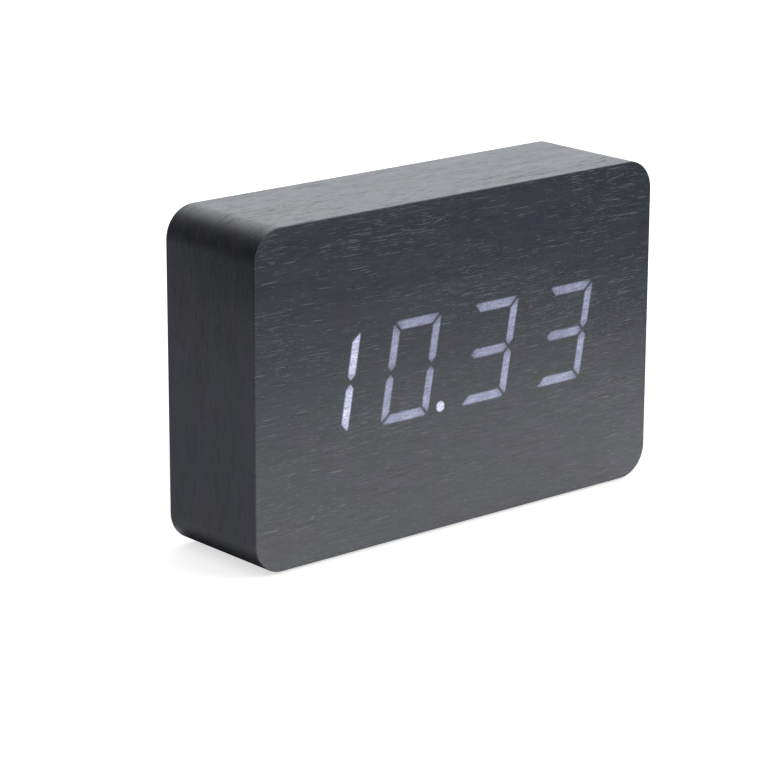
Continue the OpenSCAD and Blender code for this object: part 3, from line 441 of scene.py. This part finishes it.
def worked_metal(name, colour, rough):
    """Plated metal with faint handling marks."""
    g = material_graph(name)
    place = g.object_place()
    marks = g.noise(g.scaled(place, (900, 2600, 900)), detail=3, roughness=0.65)
    cloud = g.noise(place, 260, detail=2)
    dull = tuple(c * 0.72 for c in colour)
    tint = g.mix(g.ramp(cloud, 0.35, 0.75), colour, dull)
    roughness = g.math("MULTIPLY_ADD", marks, 0.25, rough - 0.1)
    return g.surface(Base_Color=tint, Metallic=1.0, Roughness=roughness,
                     Normal=g.bump(marks, 0.004 * MM, g.rounded_edges(METAL_EDGE)))


def fibreboard():
    """Black-painted fibreboard edge, slightly fuzzy."""
    g = material_graph("painted_fibreboard")
    place = g.object_place()
    fuzz = g.noise(place, 4200, detail=3, roughness=0.7)
    layers = g.noise(g.scaled(place, (260, 900, 260)), detail=3)
    tone = g.math("MULTIPLY_ADD", fuzz, 0.6, g.math("MULTIPLY", layers, 0.4))
    colour = g.mix(g.ramp(tone, 0.35, 0.7), (0.020, 0.020, 0.022), (0.050, 0.049, 0.050))
    return g.surface(Base_Color=colour, Roughness=0.82,
                     Normal=g.bump(tone, 0.06 * MM, g.rounded_edges(FIBREBOARD_EDGE)))


def rubber():
    """Dull black rubber."""
    g = material_graph("foot_rubber")
    place = g.object_place()
    fine = g.noise(place, 5200, detail=2)
    colour = g.mix(g.noise(place, 400), (0.012, 0.012, 0.012), (0.026, 0.026, 0.027))
    return g.surface(Base_Color=colour, Roughness=0.78, Normal=g.bump(fine, 0.02 * MM))


def circuit_board():
    """Green solder mask over a weave of glass cloth."""
    g = material_graph("circuit_board")
    place = g.object_place()
    threads = [g.add("TexWave", {"wave_type": "BANDS", "bands_direction": way}, Vector=place,
                     Scale=500.0).outputs["Fac"] for way in "XZ"]
    cloth = g.math("MULTIPLY", *threads)
    cloud = g.noise(place, 120)
    share = g.math("MULTIPLY_ADD", cloth, 0.25, g.math("MULTIPLY", cloud, 0.5))
    colour = g.mix(share, (0.008, 0.050, 0.022), (0.020, 0.105, 0.048))
    return g.surface(Base_Color=colour, Roughness=0.32, Normal=g.bump(cloth, 0.01 * MM))


def milky_plastic():
    """Light-diffusing white moulding."""
    g = material_graph("milky_diffuser")
    cloud = g.noise(g.object_place(), 300, detail=2)
    colour = g.mix(cloud, (0.74, 0.75, 0.78), (0.84, 0.85, 0.87))
    return g.surface(Base_Color=colour, Roughness=0.4, Normal=g.bump(cloud, 0.01 * MM))


def led_chip():
    """Yellow phosphor of the light chips, lit."""
    g = material_graph("led_phosphor")
    speck = g.noise(g.object_place(), 5000, detail=2)
    colour = g.mix(speck, (0.80, 0.62, 0.12), (0.92, 0.80, 0.35))
    return g.surface(Base_Color=colour, Roughness=0.35, Emission_Color=(0.8, 0.8, 1.0),
                     Emission_Strength=1.0)


# Mesh helpers

def linked(name, data):
    """A new object in the scene."""
    thing = bpy.data.objects.new(name, data)
    bpy.context.scene.collection.objects.link(thing)
    return thing


def mesh_object(name, bm):
    """A new object in the scene, from a bmesh."""
    mesh = bpy.data.meshes.new(name)
    bm.to_mesh(mesh)
    bm.free()
    return linked(name, mesh)


def new_piece(name, bm, body, smooth_angle=None):
    """An object from a bmesh, which rides on a body."""
    piece = mesh_object(name, bm)
    if smooth_angle is not None:
        piece.data.shade_smooth()
        piece.data.set_sharp_from_angle(angle=smooth_angle)
        piece.modifiers.new("flat_faces", "WEIGHTED_NORMAL").keep_sharp = True
    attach(piece, body)
    return piece


def ring(bm, points, y):
    """Vertices at points in X and Z."""
    return [bm.verts.new((x, y, z)) for x, z in points]


def joined(bm, here, there):
    """Faces between two rings of vertices."""
    for i in range(len(here)):
        j = (i + 1) % len(here)
        bm.faces.new((here[i], here[j], there[j], there[i]))


def islands(mesh):
    """Vertex index sets of a mesh's separate islands, joined where vertices coincide."""
    keys = {}
    parent = list(range(len(mesh.vertices)))

    def root(i):
        while parent[i] != i:
            parent[i] = parent[parent[i]]
            i = parent[i]
        return i

    for v in mesh.vertices:
        key = tuple(round(c * STEPS_PER_METRE) for c in v.co)
        parent[root(v.index)] = root(keys.setdefault(key, v.index))
    for face in mesh.polygons:
        first = face.vertices[0]
        for other in face.vertices[1:]:
            parent[root(other)] = root(first)
    groups = {}
    for v in mesh.vertices:
        groups.setdefault(root(v.index), []).append(v.index)
    return list(groups.values())


# The two sheets of veneer

def block_outline(inset):
    """Outline of the block in X and Z, drawn in, anticlockwise seen from the front."""
    low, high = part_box("wrap_veneer")
    centre_z = (low.z + high.z) / 2
    half_w = (high.x - low.x) / 2
    half_h = (high.z - low.z) / 2
    radius = CORNER_R - inset
    points = []
    for quarter, (sx, sz) in enumerate([(1, -1), (1, 1), (-1, 1), (-1, -1)]):
        arc = []
        for step in range(CORNER_STEPS + 1):
            turn = math.radians(90 * (quarter - 1) + 90 * step / CORNER_STEPS)
            arc.append((sx * (half_w - CORNER_R) + radius * math.cos(turn),
                        centre_z + sz * (half_h - CORNER_R) + radius * math.sin(turn)))
        start = math.radians(90 * (quarter - 1))
        along = (GUARD * math.sin(start), -GUARD * math.cos(start))
        points.append((arc[0][0] + along[0], arc[0][1] + along[1]))
        points += arc
        points.append((arc[-1][0] + along[1], arc[-1][1] - along[0]))
    return points


def run_lengths(points):
    """Distance along a closed outline at each point, and the whole length."""
    total = 0.0
    lengths = []
    for i, p in enumerate(points):
        lengths.append(total)
        total += math.dist(p, points[(i + 1) % len(points)])
    return lengths, total


def edge_round(radius, steps=4):
    """Points of a quarter round, as (inset, distance from the plane that it meets)."""
    turns = [math.radians(90 * step / steps) for step in range(steps + 1)]
    return [(radius * (1 - math.sin(turn)), radius * (1 - math.cos(turn))) for turn in turns]


def wrap_piece():
    """The strip of veneer round the sides, with eased edges. Its grain runs along the strip."""
    low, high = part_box("wrap_veneer")
    front = [(inset, low.y + y) for inset, y in edge_round(SEAM_ROUND, 2)]
    front.append((0, front[-1][1] + GUARD))
    back = [(inset, high.y - y) for inset, y in reversed(edge_round(EDGE_ROUND))]
    back.insert(0, (0, back[0][1] - GUARD))
    profile = [(VENEER_T, low.y)] + front + back + [(VENEER_T, high.y)]
    bm = bmesh.new()
    grain = bm.loops.layers.float_vector.new("grain")
    lengths, total = run_lengths(block_outline(0))
    rings = [ring(bm, block_outline(inset), y) for inset, y in profile]
    count = len(lengths)
    for here, there in zip(rings, rings[1:] + rings[:1]):
        for i in range(count):
            j = (i + 1) % count
            face = bm.faces.new((here[i], there[i], there[j], here[j]))
            ends = (lengths[i], lengths[i], lengths[j] or total, lengths[j] or total)
            for loop, along in zip(face.loops, ends):
                loop[grain] = (along + WRAP_CUT[0], loop.vert.co.y + WRAP_CUT[1], 0)
    bmesh.ops.recalc_face_normals(bm, faces=bm.faces)
    piece = new_piece("wrap_veneer_sheet", bm, "root", SMOOTH_ANGLE)
    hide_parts("wrap_veneer")
    return piece


def filled(bm, loops, to_rear):
    """Triangles that fill an outer loop of vertices around its hole loops."""
    edges = []
    for verts in loops:
        for i, v in enumerate(verts):
            other = verts[(i + 1) % len(verts)]
            edges.append(bm.edges.get((v, other)) or bm.edges.new((v, other)))
    made = bmesh.ops.triangle_fill(bm, use_beauty=True, use_dissolve=False, edges=edges)
    for face in made["geom"]:
        if isinstance(face, bmesh.types.BMFace):
            face.normal_update()
            if (face.normal.y > 0) != to_rear:
                face.normal_flip()


def flat_grain(bm):
    """Grain of the front sheet, level along X."""
    grain = bm.loops.layers.float_vector.new("grain")
    for face in bm.faces:
        for loop in face.loops:
            loop[grain] = (loop.vert.co.x, loop.vert.co.z, 0)


def front_piece(outlines):
    """The front sheet with an eased outer edge, open where the lit skins lie."""
    low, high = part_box("front_veneer")
    bm = bmesh.new()
    profile = [(EDGE_ROUND + GUARD, low.y)]
    profile += [(inset, low.y + y) for inset, y in edge_round(EDGE_ROUND)]
    profile += [(inset, high.y - y) for inset, y in reversed(edge_round(SEAM_ROUND, 2))]
    rings = [ring(bm, block_outline(inset), y) for inset, y in profile]
    for here, there in zip(rings, rings[1:]):
        joined(bm, here, there)
    front_holes = [ring(bm, points, low.y) for points in outlines]
    back_holes = [ring(bm, points, high.y) for points in outlines]
    for near, far in zip(front_holes, back_holes):
        joined(bm, near, far)
    filled(bm, [rings[0]] + front_holes, to_rear=False)
    filled(bm, [rings[-1]] + back_holes, to_rear=True)
    bmesh.ops.recalc_face_normals(bm, faces=bm.faces)
    flat_grain(bm)
    piece = new_piece("front_veneer_sheet", bm, "root", SMOOTH_ANGLE)
    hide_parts("front_veneer")
    return piece


# The lit segments and the dot

def meeting(a, b, c, d):
    """Where the line through a and b meets the line through c and d."""
    ab, cd = (b[0] - a[0], b[1] - a[1]), (d[0] - c[0], d[1] - c[1])
    share = ((c[0] - a[0]) * cd[1] - (c[1] - a[1]) * cd[0]) / (ab[0] * cd[1] - ab[1] * cd[0])
    return (a[0] + share * ab[0], a[1] + share * ab[1])


def pointed(points):
    """A segment's outline with its blunt tips drawn out."""
    count = len(points)
    if count > SEGMENT_POINTS:
        return points
    result = list(points)
    for i in range(count):
        a, b = points[i], points[(i + 1) % count]
        run, rise = b[0] - a[0], b[1] - a[1]
        slant = min(abs(rise), abs(run - LEAN * rise))
        if math.hypot(run, rise) < TIP_WIDTH and slant < TIP_SLACK:
            tip = meeting(points[i - 1], a, b, points[(i + 2) % count])
            for k, p in ((i, a), ((i + 1) % count, b)):
                result[k] = tuple(p[n] + TIP_SHARE * (tip[n] - p[n]) for n in range(2))
    return result


def segment_outlines():
    """Outline of each lit segment in X and Z, from the CAD's lit segments, sorted from the left."""
    mesh = frame["nodes"]["lit_segments"].data
    front = min(v.co.y for v in mesh.vertices)
    outlines = []
    for group in islands(mesh):
        seen = {}
        for i in group:
            x, y, z = mesh.vertices[i].co
            if abs(y - front) < WELD:
                seen[(round(x * STEPS_PER_METRE), round(z * STEPS_PER_METRE))] = (x, z)
        points = list(seen.values())
        cx = sum(p[0] for p in points) / len(points)
        cz = sum(p[1] for p in points) / len(points)
        points.sort(key=lambda p: math.atan2(p[1] - cz, p[0] - cx))
        outlines.append(pointed(points))
    outlines.sort(key=lambda points: (min(p[0] for p in points), min(p[1] for p in points)))
    return outlines


def lamp_places(points, power):
    """For each point, its place along and across its segment, from -1 to 1, and the power."""
    centre = Vector([(min(p[k] for p in points) + max(p[k] for p in points)) / 2 for k in (0, 1)])
    offsets = [Vector(p) - centre for p in points]
    width, height = (max(abs(o[k]) for o in offsets) for k in (0, 1))
    axis = Vector((1, 0)) if width > height else Vector((LEAN, 1)).normalized()
    side = Vector((-axis.y, axis.x))
    half_length = max(abs(o.dot(axis)) for o in offsets)
    half_width = max(abs(o.dot(side)) for o in offsets)
    return [(o.dot(axis) / half_length, o.dot(side) / half_width, power) for o in offsets]


def rim_distances(points):
    """For each point, how far in mm it is from the outline's six longest edges, as two vectors.
    The round dot gets large values, so its rim doesn't fade."""
    count = len(points)
    if count > SEGMENT_POINTS:
        return [((RIM_FAR,) * 3, (RIM_FAR,) * 3)] * count
    edges = [(points[i], points[(i + 1) % count]) for i in range(count)]
    edges.sort(key=lambda edge: math.dist(*edge), reverse=True)
    result = []
    for p in points:
        far = [RIM_FAR] * 6
        for k, (a, b) in enumerate(edges[:6]):
            run, rise = b[0] - a[0], b[1] - a[1]
            far[k] = ((p[1] - a[1]) * run - (p[0] - a[0]) * rise) / math.hypot(run, rise) / MM
        result.append((tuple(far[:3]), tuple(far[3:])))
    return result


def lamp_power(points, middle):
    """The dot is the brightest and the first digit brighter than the rest, and the segments below
    the digits' middle height are a little brighter than those above, as photographed."""
    if len(points) > SEGMENT_POINTS:
        return DOT_POWER
    right, top = (max(p[k] for p in points) for k in (0, 1))
    power = FIRST_DIGIT_POWER if right < FIRST_DIGIT_END else DIGIT_POWER
    return power * LOWER_LIFT if top < middle + LOWER_SLACK else power


def lit_piece(outlines):
    """The lit skins, flush in the openings of the front sheet."""
    low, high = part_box("lit_segments")
    middle = (low.z + high.z) / 2
    bm = bmesh.new()
    layers = bm.verts.layers.float_vector
    lamp, rim_a, rim_b = (layers.new(name) for name in ("lamp", "rim_a", "rim_b"))
    for points in outlines:
        places = lamp_places(points, lamp_power(points, middle))
        rims = rim_distances(points)
        front, back = (ring(bm, points, y) for y in (low.y, high.y))
        for verts in (front, back):
            for v, place, distances in zip(verts, places, rims):
                v[lamp] = place
                v[rim_a], v[rim_b] = distances
        joined(bm, front, back)
        bm.faces.new(front)
        bm.faces.new(list(reversed(back)))
    bmesh.ops.recalc_face_normals(bm, faces=bm.faces)
    flat_grain(bm)
    piece = new_piece("lit_skins", bm, "root")
    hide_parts("lit_segments")
    return piece


# Rear parts: copies of CAD nodes with rounded edges, raised marks and turned cells


def node_body(node):
    """The body that carries a CAD node."""
    return frame["nodes"][node].parent.name.split(":")[1]


def long_loops(edges):
    """The edges, but for whole chains that hold an edge too short to be rounded."""
    left = set(edges)
    kept = []
    while left:
        chain = [left.pop()]
        for edge in chain:
            for v in edge.verts:
                for other in v.link_edges:
                    if other in left:
                        left.remove(other)
                        chain.append(other)
        if min(e.calc_length() for e in chain) > SHORTEST_EDGE:
            kept += chain
    return kept


def softened(node, name, width, material, level=None):
    """A copy of a CAD node with its sharp edges rounded, all or only those at one level, which is
    an axis and a place on it."""
    bm = bmesh.new()
    bm.from_mesh(frame["nodes"][node].data)
    bmesh.ops.remove_doubles(bm, verts=bm.verts, dist=WELD)
    bmesh.ops.dissolve_limit(bm, angle_limit=FLAT_ANGLE, verts=bm.verts, edges=bm.edges)
    edges = [e for e in bm.edges if len(e.link_faces) == 2 and e.calc_face_angle() > FOLD_ANGLE]
    if level:
        axis, place = level
        edges = [e for e in edges
                 if all(abs(getattr(v.co, axis) - place) < LEVEL_SLACK for v in e.verts)]
    bmesh.ops.bevel(bm, geom=long_loops(edges), offset=width, offset_type="OFFSET", segments=3,
                    profile=0.5, affect="EDGES", clamp_overlap=True)
    piece = new_piece(name, bm, node_body(node), SMOOTH_ANGLE)
    piece.data.materials.append(material)
    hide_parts(node)


def ring_points(centre, radius, count, start=0.0):
    """Corners of a regular outline round a centre."""
    return [(centre[0] + radius * math.cos(start + 2 * math.pi * i / count),
             centre[1] + radius * math.sin(start + 2 * math.pi * i / count)) for i in range(count)]


def bar_points(centre, half):
    """Corners of an oblong with the given half sizes."""
    return [(centre[0] + sx * half[0], centre[1] + sz * half[1])
            for sx, sz in ((1, -1), (1, 1), (-1, 1), (-1, -1))]


def raised_mark(bm, outer, inner):
    """A closed band in relief on the rear cover, between two outlines in X and Z."""
    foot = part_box("rear_cover")[1].y - MARK_SUNK
    top = foot + MARK_HEIGHT
    rings = [ring(bm, points, y)
             for points, y in ((outer, foot), (outer, top), (inner, top), (inner, foot))]
    for here, there in zip(rings, rings[1:] + rings[:1]):
        joined(bm, here, there)


def cover_marks():
    """Marks in relief above the controls: a ring, a triangle down, one up, and a ring and a bar."""
    bm = bmesh.new()
    for node, (count, turn, radius, width) in BUTTON_MARKS.items():
        low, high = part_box(node)
        spot = ((low.x + high.x) / 2, high.z + MARK_RISE)
        outer, inner = (ring_points(spot, r * MM, count, math.radians(turn))
                        for r in (radius, radius - width))
        raised_mark(bm, outer, inner)
    low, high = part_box("alarm_switch_knob")
    spot = (high.x + SWITCH_RING_ASIDE, high.z + SWITCH_MARK_RISE)
    raised_mark(bm, *(ring_points(spot, r, SWITCH_RING_SIDES) for r in SWITCH_RING))
    spot = (low.x + SWITCH_BAR_ASIDE, high.z + SWITCH_MARK_RISE)
    raised_mark(bm, *(bar_points(spot, half) for half in SWITCH_BAR))
    bmesh.ops.recalc_face_normals(bm, faces=bm.faces)
    return new_piece("cover_marks", bm, "root")


def lathed_cells(materials):
    """Four cells turned about their CAD places: steel can, light band and blue sleeve."""
    mesh = frame["nodes"]["battery_cells"].data
    bm = bmesh.new()
    for group in islands(mesh):
        points = [mesh.vertices[i].co for i in group]
        low, high = (Vector([end(p[k] for p in points) for k in range(3)]) for end in (min, max))
        y, z = (low.y + high.y) / 2, (low.z + high.z) / 2
        reach = max(math.dist((p.y, p.z), (y, z)) for p in points if p.x < low.x + END_SLACK)
        start, way = (low.x, 1) if reach < NUB_REACH else (high.x, -1)
        rings = []
        for distance, radius, _ in CELL_SECTION:
            places = ring_points((y, z), radius * MM, CELL_SIDES) if radius else [(y, z)]
            x = start + way * distance * MM
            rings.append([bm.verts.new((x, a, b)) for a, b in places])
        for here, there, (_, _, material) in zip(rings, rings[1:], CELL_SECTION):
            for i in range(CELL_SIDES):
                j = i + 1
                corners = [here[i % len(here)], here[j % len(here)],
                           there[j % len(there)], there[i % len(there)]]
                face = bm.faces.new(list(dict.fromkeys(corners)))
                face.material_index = material
    bmesh.ops.remove_doubles(bm, verts=bm.verts, dist=WELD)
    bmesh.ops.recalc_face_normals(bm, faces=bm.faces)
    piece = new_piece("sleeved_cells", bm, "root", CELL_SMOOTH_ANGLE)
    for material in materials:
        piece.data.materials.append(material)
    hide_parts("battery_cells")


# Stage: floor, light and camera

def mirrored_rays(g, paths):
    """1 for what is seen by reflection or through glass."""
    return g.math("MAXIMUM", paths["Is Glossy Ray"], paths["Is Transmission Ray"])


def clear_of_block(g, x, y):
    """How far the table top is out of the block's painted shade, which only reflections see: 0
    under it, and soon 1 before and behind it, but later beside its ends, where the corners are
    rounded."""
    beside = g.ramp(g.math("SUBTRACT", g.math("ABSOLUTE", x), HALF_W), 0.0, SHADE_BESIDE)
    before = g.ramp(y, -HALF_D, -HALF_D - SHADE_BEFORE)
    behind = g.math("MULTIPLY", g.ramp(y, HALF_D, HALF_D + SHADE_BEHIND),
                    g.math("GREATER_THAN", x, -HALF_W))
    return g.math("MAXIMUM", beside, g.math("MAXIMUM", before, behind))


def floor():
    """A pale round table top. The camera sees it nearly white, with the block's shadow. Reflections
    see it glow with painted light that dims before the block and to its right, and see a painted
    shade under and beside the block.
    """
    bm = bmesh.new()
    bmesh.ops.create_circle(bm, cap_ends=True, segments=128, radius=FLOOR_RADIUS)
    disc = mesh_object("stage_floor", bm)
    g = material_graph("stage_floor_white")
    paths = g.add("LightPath").outputs
    mirrored = mirrored_rays(g, paths)
    place = g.object_place()
    x, y, _ = g.parts(place)
    clear = clear_of_block(g, x, y)
    # Painted reflection: only glossy and transmission rays see this glow, dimmer further before the
    # block and to its right
    painted_reflection_fade = g.math("MULTIPLY", g.ramp(y, -0.02, -0.10, 0.84, 0.70, smooth=False),
                  g.ramp(x, -0.05, 0.15, 1.02, 0.86, smooth=False))
    from_middle = g.add("VectorMath", {"operation": "LENGTH"}, Vector=place).outputs["Value"]
    seen = g.math("MULTIPLY", paths["Is Camera Ray"], g.ramp(from_middle, 0.25, 1.1, 0.62, 1.0))
    glow = g.math("MULTIPLY_ADD", mirrored, g.math("MULTIPLY", clear, painted_reflection_fade), seen)
    pale = g.mix(g.noise(place, 40, detail=2), grey(0.83), grey(0.85))
    # Painted shade: reflections see the table top dark grey under and beside the block
    shaded = g.math("MULTIPLY", mirrored, g.math("SUBTRACT", 1.0, clear))
    disc.data.materials.append(g.surface(
        Base_Color=g.mix(shaded, pale, grey(0.10)), Roughness=0.9, Specular_IOR_Level=0.0,
        Emission_Color=grey(1.0), Emission_Strength=glow))


def world():
    """Even studio light all round."""
    g = Graph(bpy.data.worlds.new("studio"), "World")
    paths = g.add("LightPath").outputs
    seen = g.math("MAXIMUM", paths["Is Camera Ray"], mirrored_rays(g, paths))
    strength = g.ramp(seen, 0.0, 1.0, WORLD_LEVEL, 1.0, smooth=False)
    bpy.context.scene.world = g.finish("Background", Color=grey(1.0), Strength=strength)


def aimed(thing, front, place, aim):
    """Put a thing at a place with its front axis towards where it is aimed."""
    thing.location = place
    thing.rotation_euler = (Vector(aim) - Vector(place)).to_track_quat(front, "Y").to_euler()


def soft_lamp(name, place, aim, size, power, tint=(1.0, 1.0, 1.0)):
    light = bpy.data.lights.new(name, "AREA")
    light.color = tint
    light.shape = "RECTANGLE"
    light.size, light.size_y = size
    light.energy = power
    aimed(linked(name, light), "-Z", place, aim)


def reflection_card(name, bm, tone):
    """A card, dark or pale, like those that studios set beside an object, but only reflections see
    it: a painted reflection, which casts no shade and blocks no lamp.
    """
    card = mesh_object(name, bm)
    for ray in ("camera", "diffuse", "transmission", "volume_scatter", "shadow"):
        setattr(card, "visible_" + ray, False)
    g = material_graph(name + "_felt")
    shade = g.mix(g.noise(g.object_place(), 8), cool_grey(tone), cool_grey(tone * 1.2))
    card.data.materials.append(
        g.surface(Base_Color=shade, Roughness=1.0, Specular_IOR_Level=0.0))
    return card


def standing_card(name, place, aim, size, tone):
    """A card that faces where it is aimed."""
    bm = bmesh.new()
    bmesh.ops.create_grid(bm, x_segments=1, y_segments=1, size=0.5)
    card = reflection_card(name, bm, tone)
    aimed(card, "Z", place, aim)
    card.scale = (size[0], size[1], 1)


def lying_card(name, x, y, tone):
    """A card that lies on the table top, over a range of X and one of Y."""
    bm = bmesh.new()
    corners = [(x[0], y[0]), (x[1], y[0]), (x[1], y[1]), (x[0], y[1])]
    bm.faces.new([bm.verts.new((*corner, CARD_HEIGHT)) for corner in corners])
    reflection_card(name, bm, tone)


def camera():
    """The photograph's view."""
    data = bpy.data.cameras.new("photo_camera")
    data.lens = LENS
    data.sensor_width = SENSOR
    data.clip_start = CLIP_START
    data.clip_end = CLIP_END
    cam = linked("photo_camera", data)
    back = Vector((math.sin(AZIMUTH) * math.cos(ELEVATION),
                   -math.cos(AZIMUTH) * math.cos(ELEVATION), math.sin(ELEVATION)))
    right = Vector((math.cos(AZIMUTH), math.sin(AZIMUTH), 0))
    up = back.cross(right)
    tilted_right = math.cos(ROLL) * right + math.sin(ROLL) * up
    tilted_up = -math.sin(ROLL) * right + math.cos(ROLL) * up
    turn = Matrix((tilted_right, tilted_up, back)).transposed()
    cam.matrix_world = Matrix.Translation(TARGET + back * DISTANCE) @ turn.to_4x4()
    bpy.context.scene.camera = cam


# The clock and its studio

def veneered_block():
    """The two sheets of veneer and the lit skins."""
    outlines = segment_outlines()
    wrap_piece().data.materials.append(veneer_material(
        "black_stained_veneer_wrap", pore_tone=(0.026, 0.028, 0.034), stain=WRAP_STAIN,
        stroke_share=0.70, stroke_length=3.4 * MM, polish=0.375))
    front_piece(outlines).data.materials.append(veneer_material(
        "black_stained_veneer_front", pore_tone=(0.088, 0.101, 0.130), stain=FRONT_STAIN,
        stroke_share=0.3, stroke_length=6 * MM, polish=0.31))
    lit_piece(outlines).data.materials.append(glow_material())


def dress(materials):
    """Give each CAD node that stays its material."""
    for node, material in materials.items():
        mesh = frame["nodes"][node].data
        mesh.materials.clear()
        mesh.materials.append(material)


def fittings():
    """All that is inside the block and at its rear."""
    coarse = {"grain": 0.40 * MM, "depth": 0.030 * MM}
    black = moulded_plastic("black_moulding", (0.020, 0.020, 0.021), 0.52, **coarse)
    door = moulded_plastic("black_door_moulding", (0.021, 0.021, 0.022), 0.50, **coarse)
    gloss = moulded_plastic("black_button_moulding", (0.012, 0.012, 0.013), 0.30,
                            depth=0.004 * MM)
    dark = moulded_plastic("chip_moulding", (0.016, 0.016, 0.017), 0.55)
    ivory = moulded_plastic("header_nylon", (0.62, 0.57, 0.44), 0.4)
    steel = worked_metal("zinc_plated_steel", (0.62, 0.62, 0.63), 0.36)
    nickel = worked_metal("nickel_plate", (0.72, 0.69, 0.64), 0.24)
    gold = worked_metal("gilt_pin", (0.83, 0.62, 0.28), 0.25)
    oxide = worked_metal("black_oxide_steel", (0.13, 0.13, 0.135), 0.40)
    white = milky_plastic()
    board = circuit_board()
    sleeve = moulded_plastic("cell_sleeve", (0.045, 0.085, 0.15), 0.28, depth=0.003 * MM)
    band = moulded_plastic("cell_sleeve_band", (0.46, 0.46, 0.44), 0.28, depth=0.003 * MM)
    red = moulded_plastic("lead_insulation", (0.30, 0.016, 0.012), 0.42, depth=0.004 * MM)
    ribbon = moulded_plastic("ribbon_insulation", (0.30, 0.31, 0.33), 0.5)
    tan = moulded_plastic("sensor_bead", (0.20, 0.085, 0.03), 0.45)
    blue = moulded_plastic("capacitor_sleeve", (0.012, 0.020, 0.085), 0.35)

    softened("case_body", "fibreboard_case", 0.20 * MM, fibreboard(), ("y", 20.0 * MM))
    softened("rear_cover", "moulded_cover", 0.20 * MM, black, ("y", 19.0 * MM))
    softened("battery_door", "moulded_door", 0.20 * MM, door, ("y", 19.0 * MM))
    softened("dc_jack", "inlet_housing", 0.12 * MM, gloss, ("y", 18.7 * MM))
    softened("cover_screws", "pan_head_screws", 0.05 * MM, oxide)
    softened("rubber_feet", "round_feet", 0.20 * MM, rubber(), ("z", 0.0))
    softened("alarm_switch_knob", "slide_knob", 0.10 * MM, gloss)
    for button in ("set_button", "down_button", "up_button"):
        softened(button, button.replace("button", "key"), 0.12 * MM, gloss)
    cover_marks().data.materials.append(moulded_plastic("mark_ink", (0.17, 0.17, 0.175), 0.55))
    lathed_cells((steel, band, sleeve))
    dress({
        "segment_reflector": white, "segment_lenses": white, "segment_leds": led_chip(),
        "display_board": board, "control_board": board,
        "display_screws": steel, "control_board_screws": steel,
        "driver_chips": dark, "clock_chip": dark, "buzzer": dark, "tact_switches": dark,
        "display_header": ivory, "control_header": ivory, "display_ribbon": ribbon,
        "crystal": nickel, "capacitors": blue, "temperature_sensor": tan, "microphone": nickel,
        "set_plunger": black, "down_plunger": black, "up_plunger": black,
        "alarm_switch_body": nickel, "dc_jack_pin": gold,
        "battery_springs": nickel, "battery_plates": nickel, "battery_leads": red,
    })


def studio():
    """Floor, lamps, cards and camera."""
    world()
    floor()
    soft_lamp("rear_softbox", place=(0.53, 0.66, 0.42), aim=(0, 0, 0.08), size=(1.1, 0.75),
              power=3.25, tint=(0.88, 0.94, 1.0))
    soft_lamp("front_softbox", place=(0.45, -0.70, 0.52), aim=(0, 0, 0.05), size=(0.5, 0.5),
              power=3.2)
    # The cards paint what the block reflects: dark beside its left, rear left and front right, and
    # of several tones on the table top
    standing_card("card_rear_left", place=(-0.36, 0.30, 0.28), aim=(-0.0775, 0, 0.09),
                  size=(0.62, 0.60), tone=0.022)
    standing_card("card_left", place=(-0.11, -0.0575, 0.169), aim=(0, -0.0575, 0.169),
                  size=(0.185, 0.202), tone=0.012)
    standing_card("card_front_right", place=(0.62, -0.62, 0.34), aim=(0, 0, 0.06),
                  size=(1.3, 0.66), tone=0.03)
    lying_card("card_table_left", x=(-CARD_REACH, -0.087), y=(-0.155, CARD_REACH), tone=0.57)
    lying_card("card_table_front", x=(-CARD_REACH, CARD_REACH), y=(-CARD_REACH, -0.155), tone=0.12)
    lying_card("card_table_right", x=(0.20, CARD_REACH), y=(-0.155, 0.17), tone=0.30)
    lying_card("card_table_rear", x=(-0.0785, CARD_REACH), y=(0.17, CARD_REACH), tone=0.33)
    camera()
    bpy.context.scene.view_settings.view_transform = "Standard"


veneered_block()
fittings()
studio()
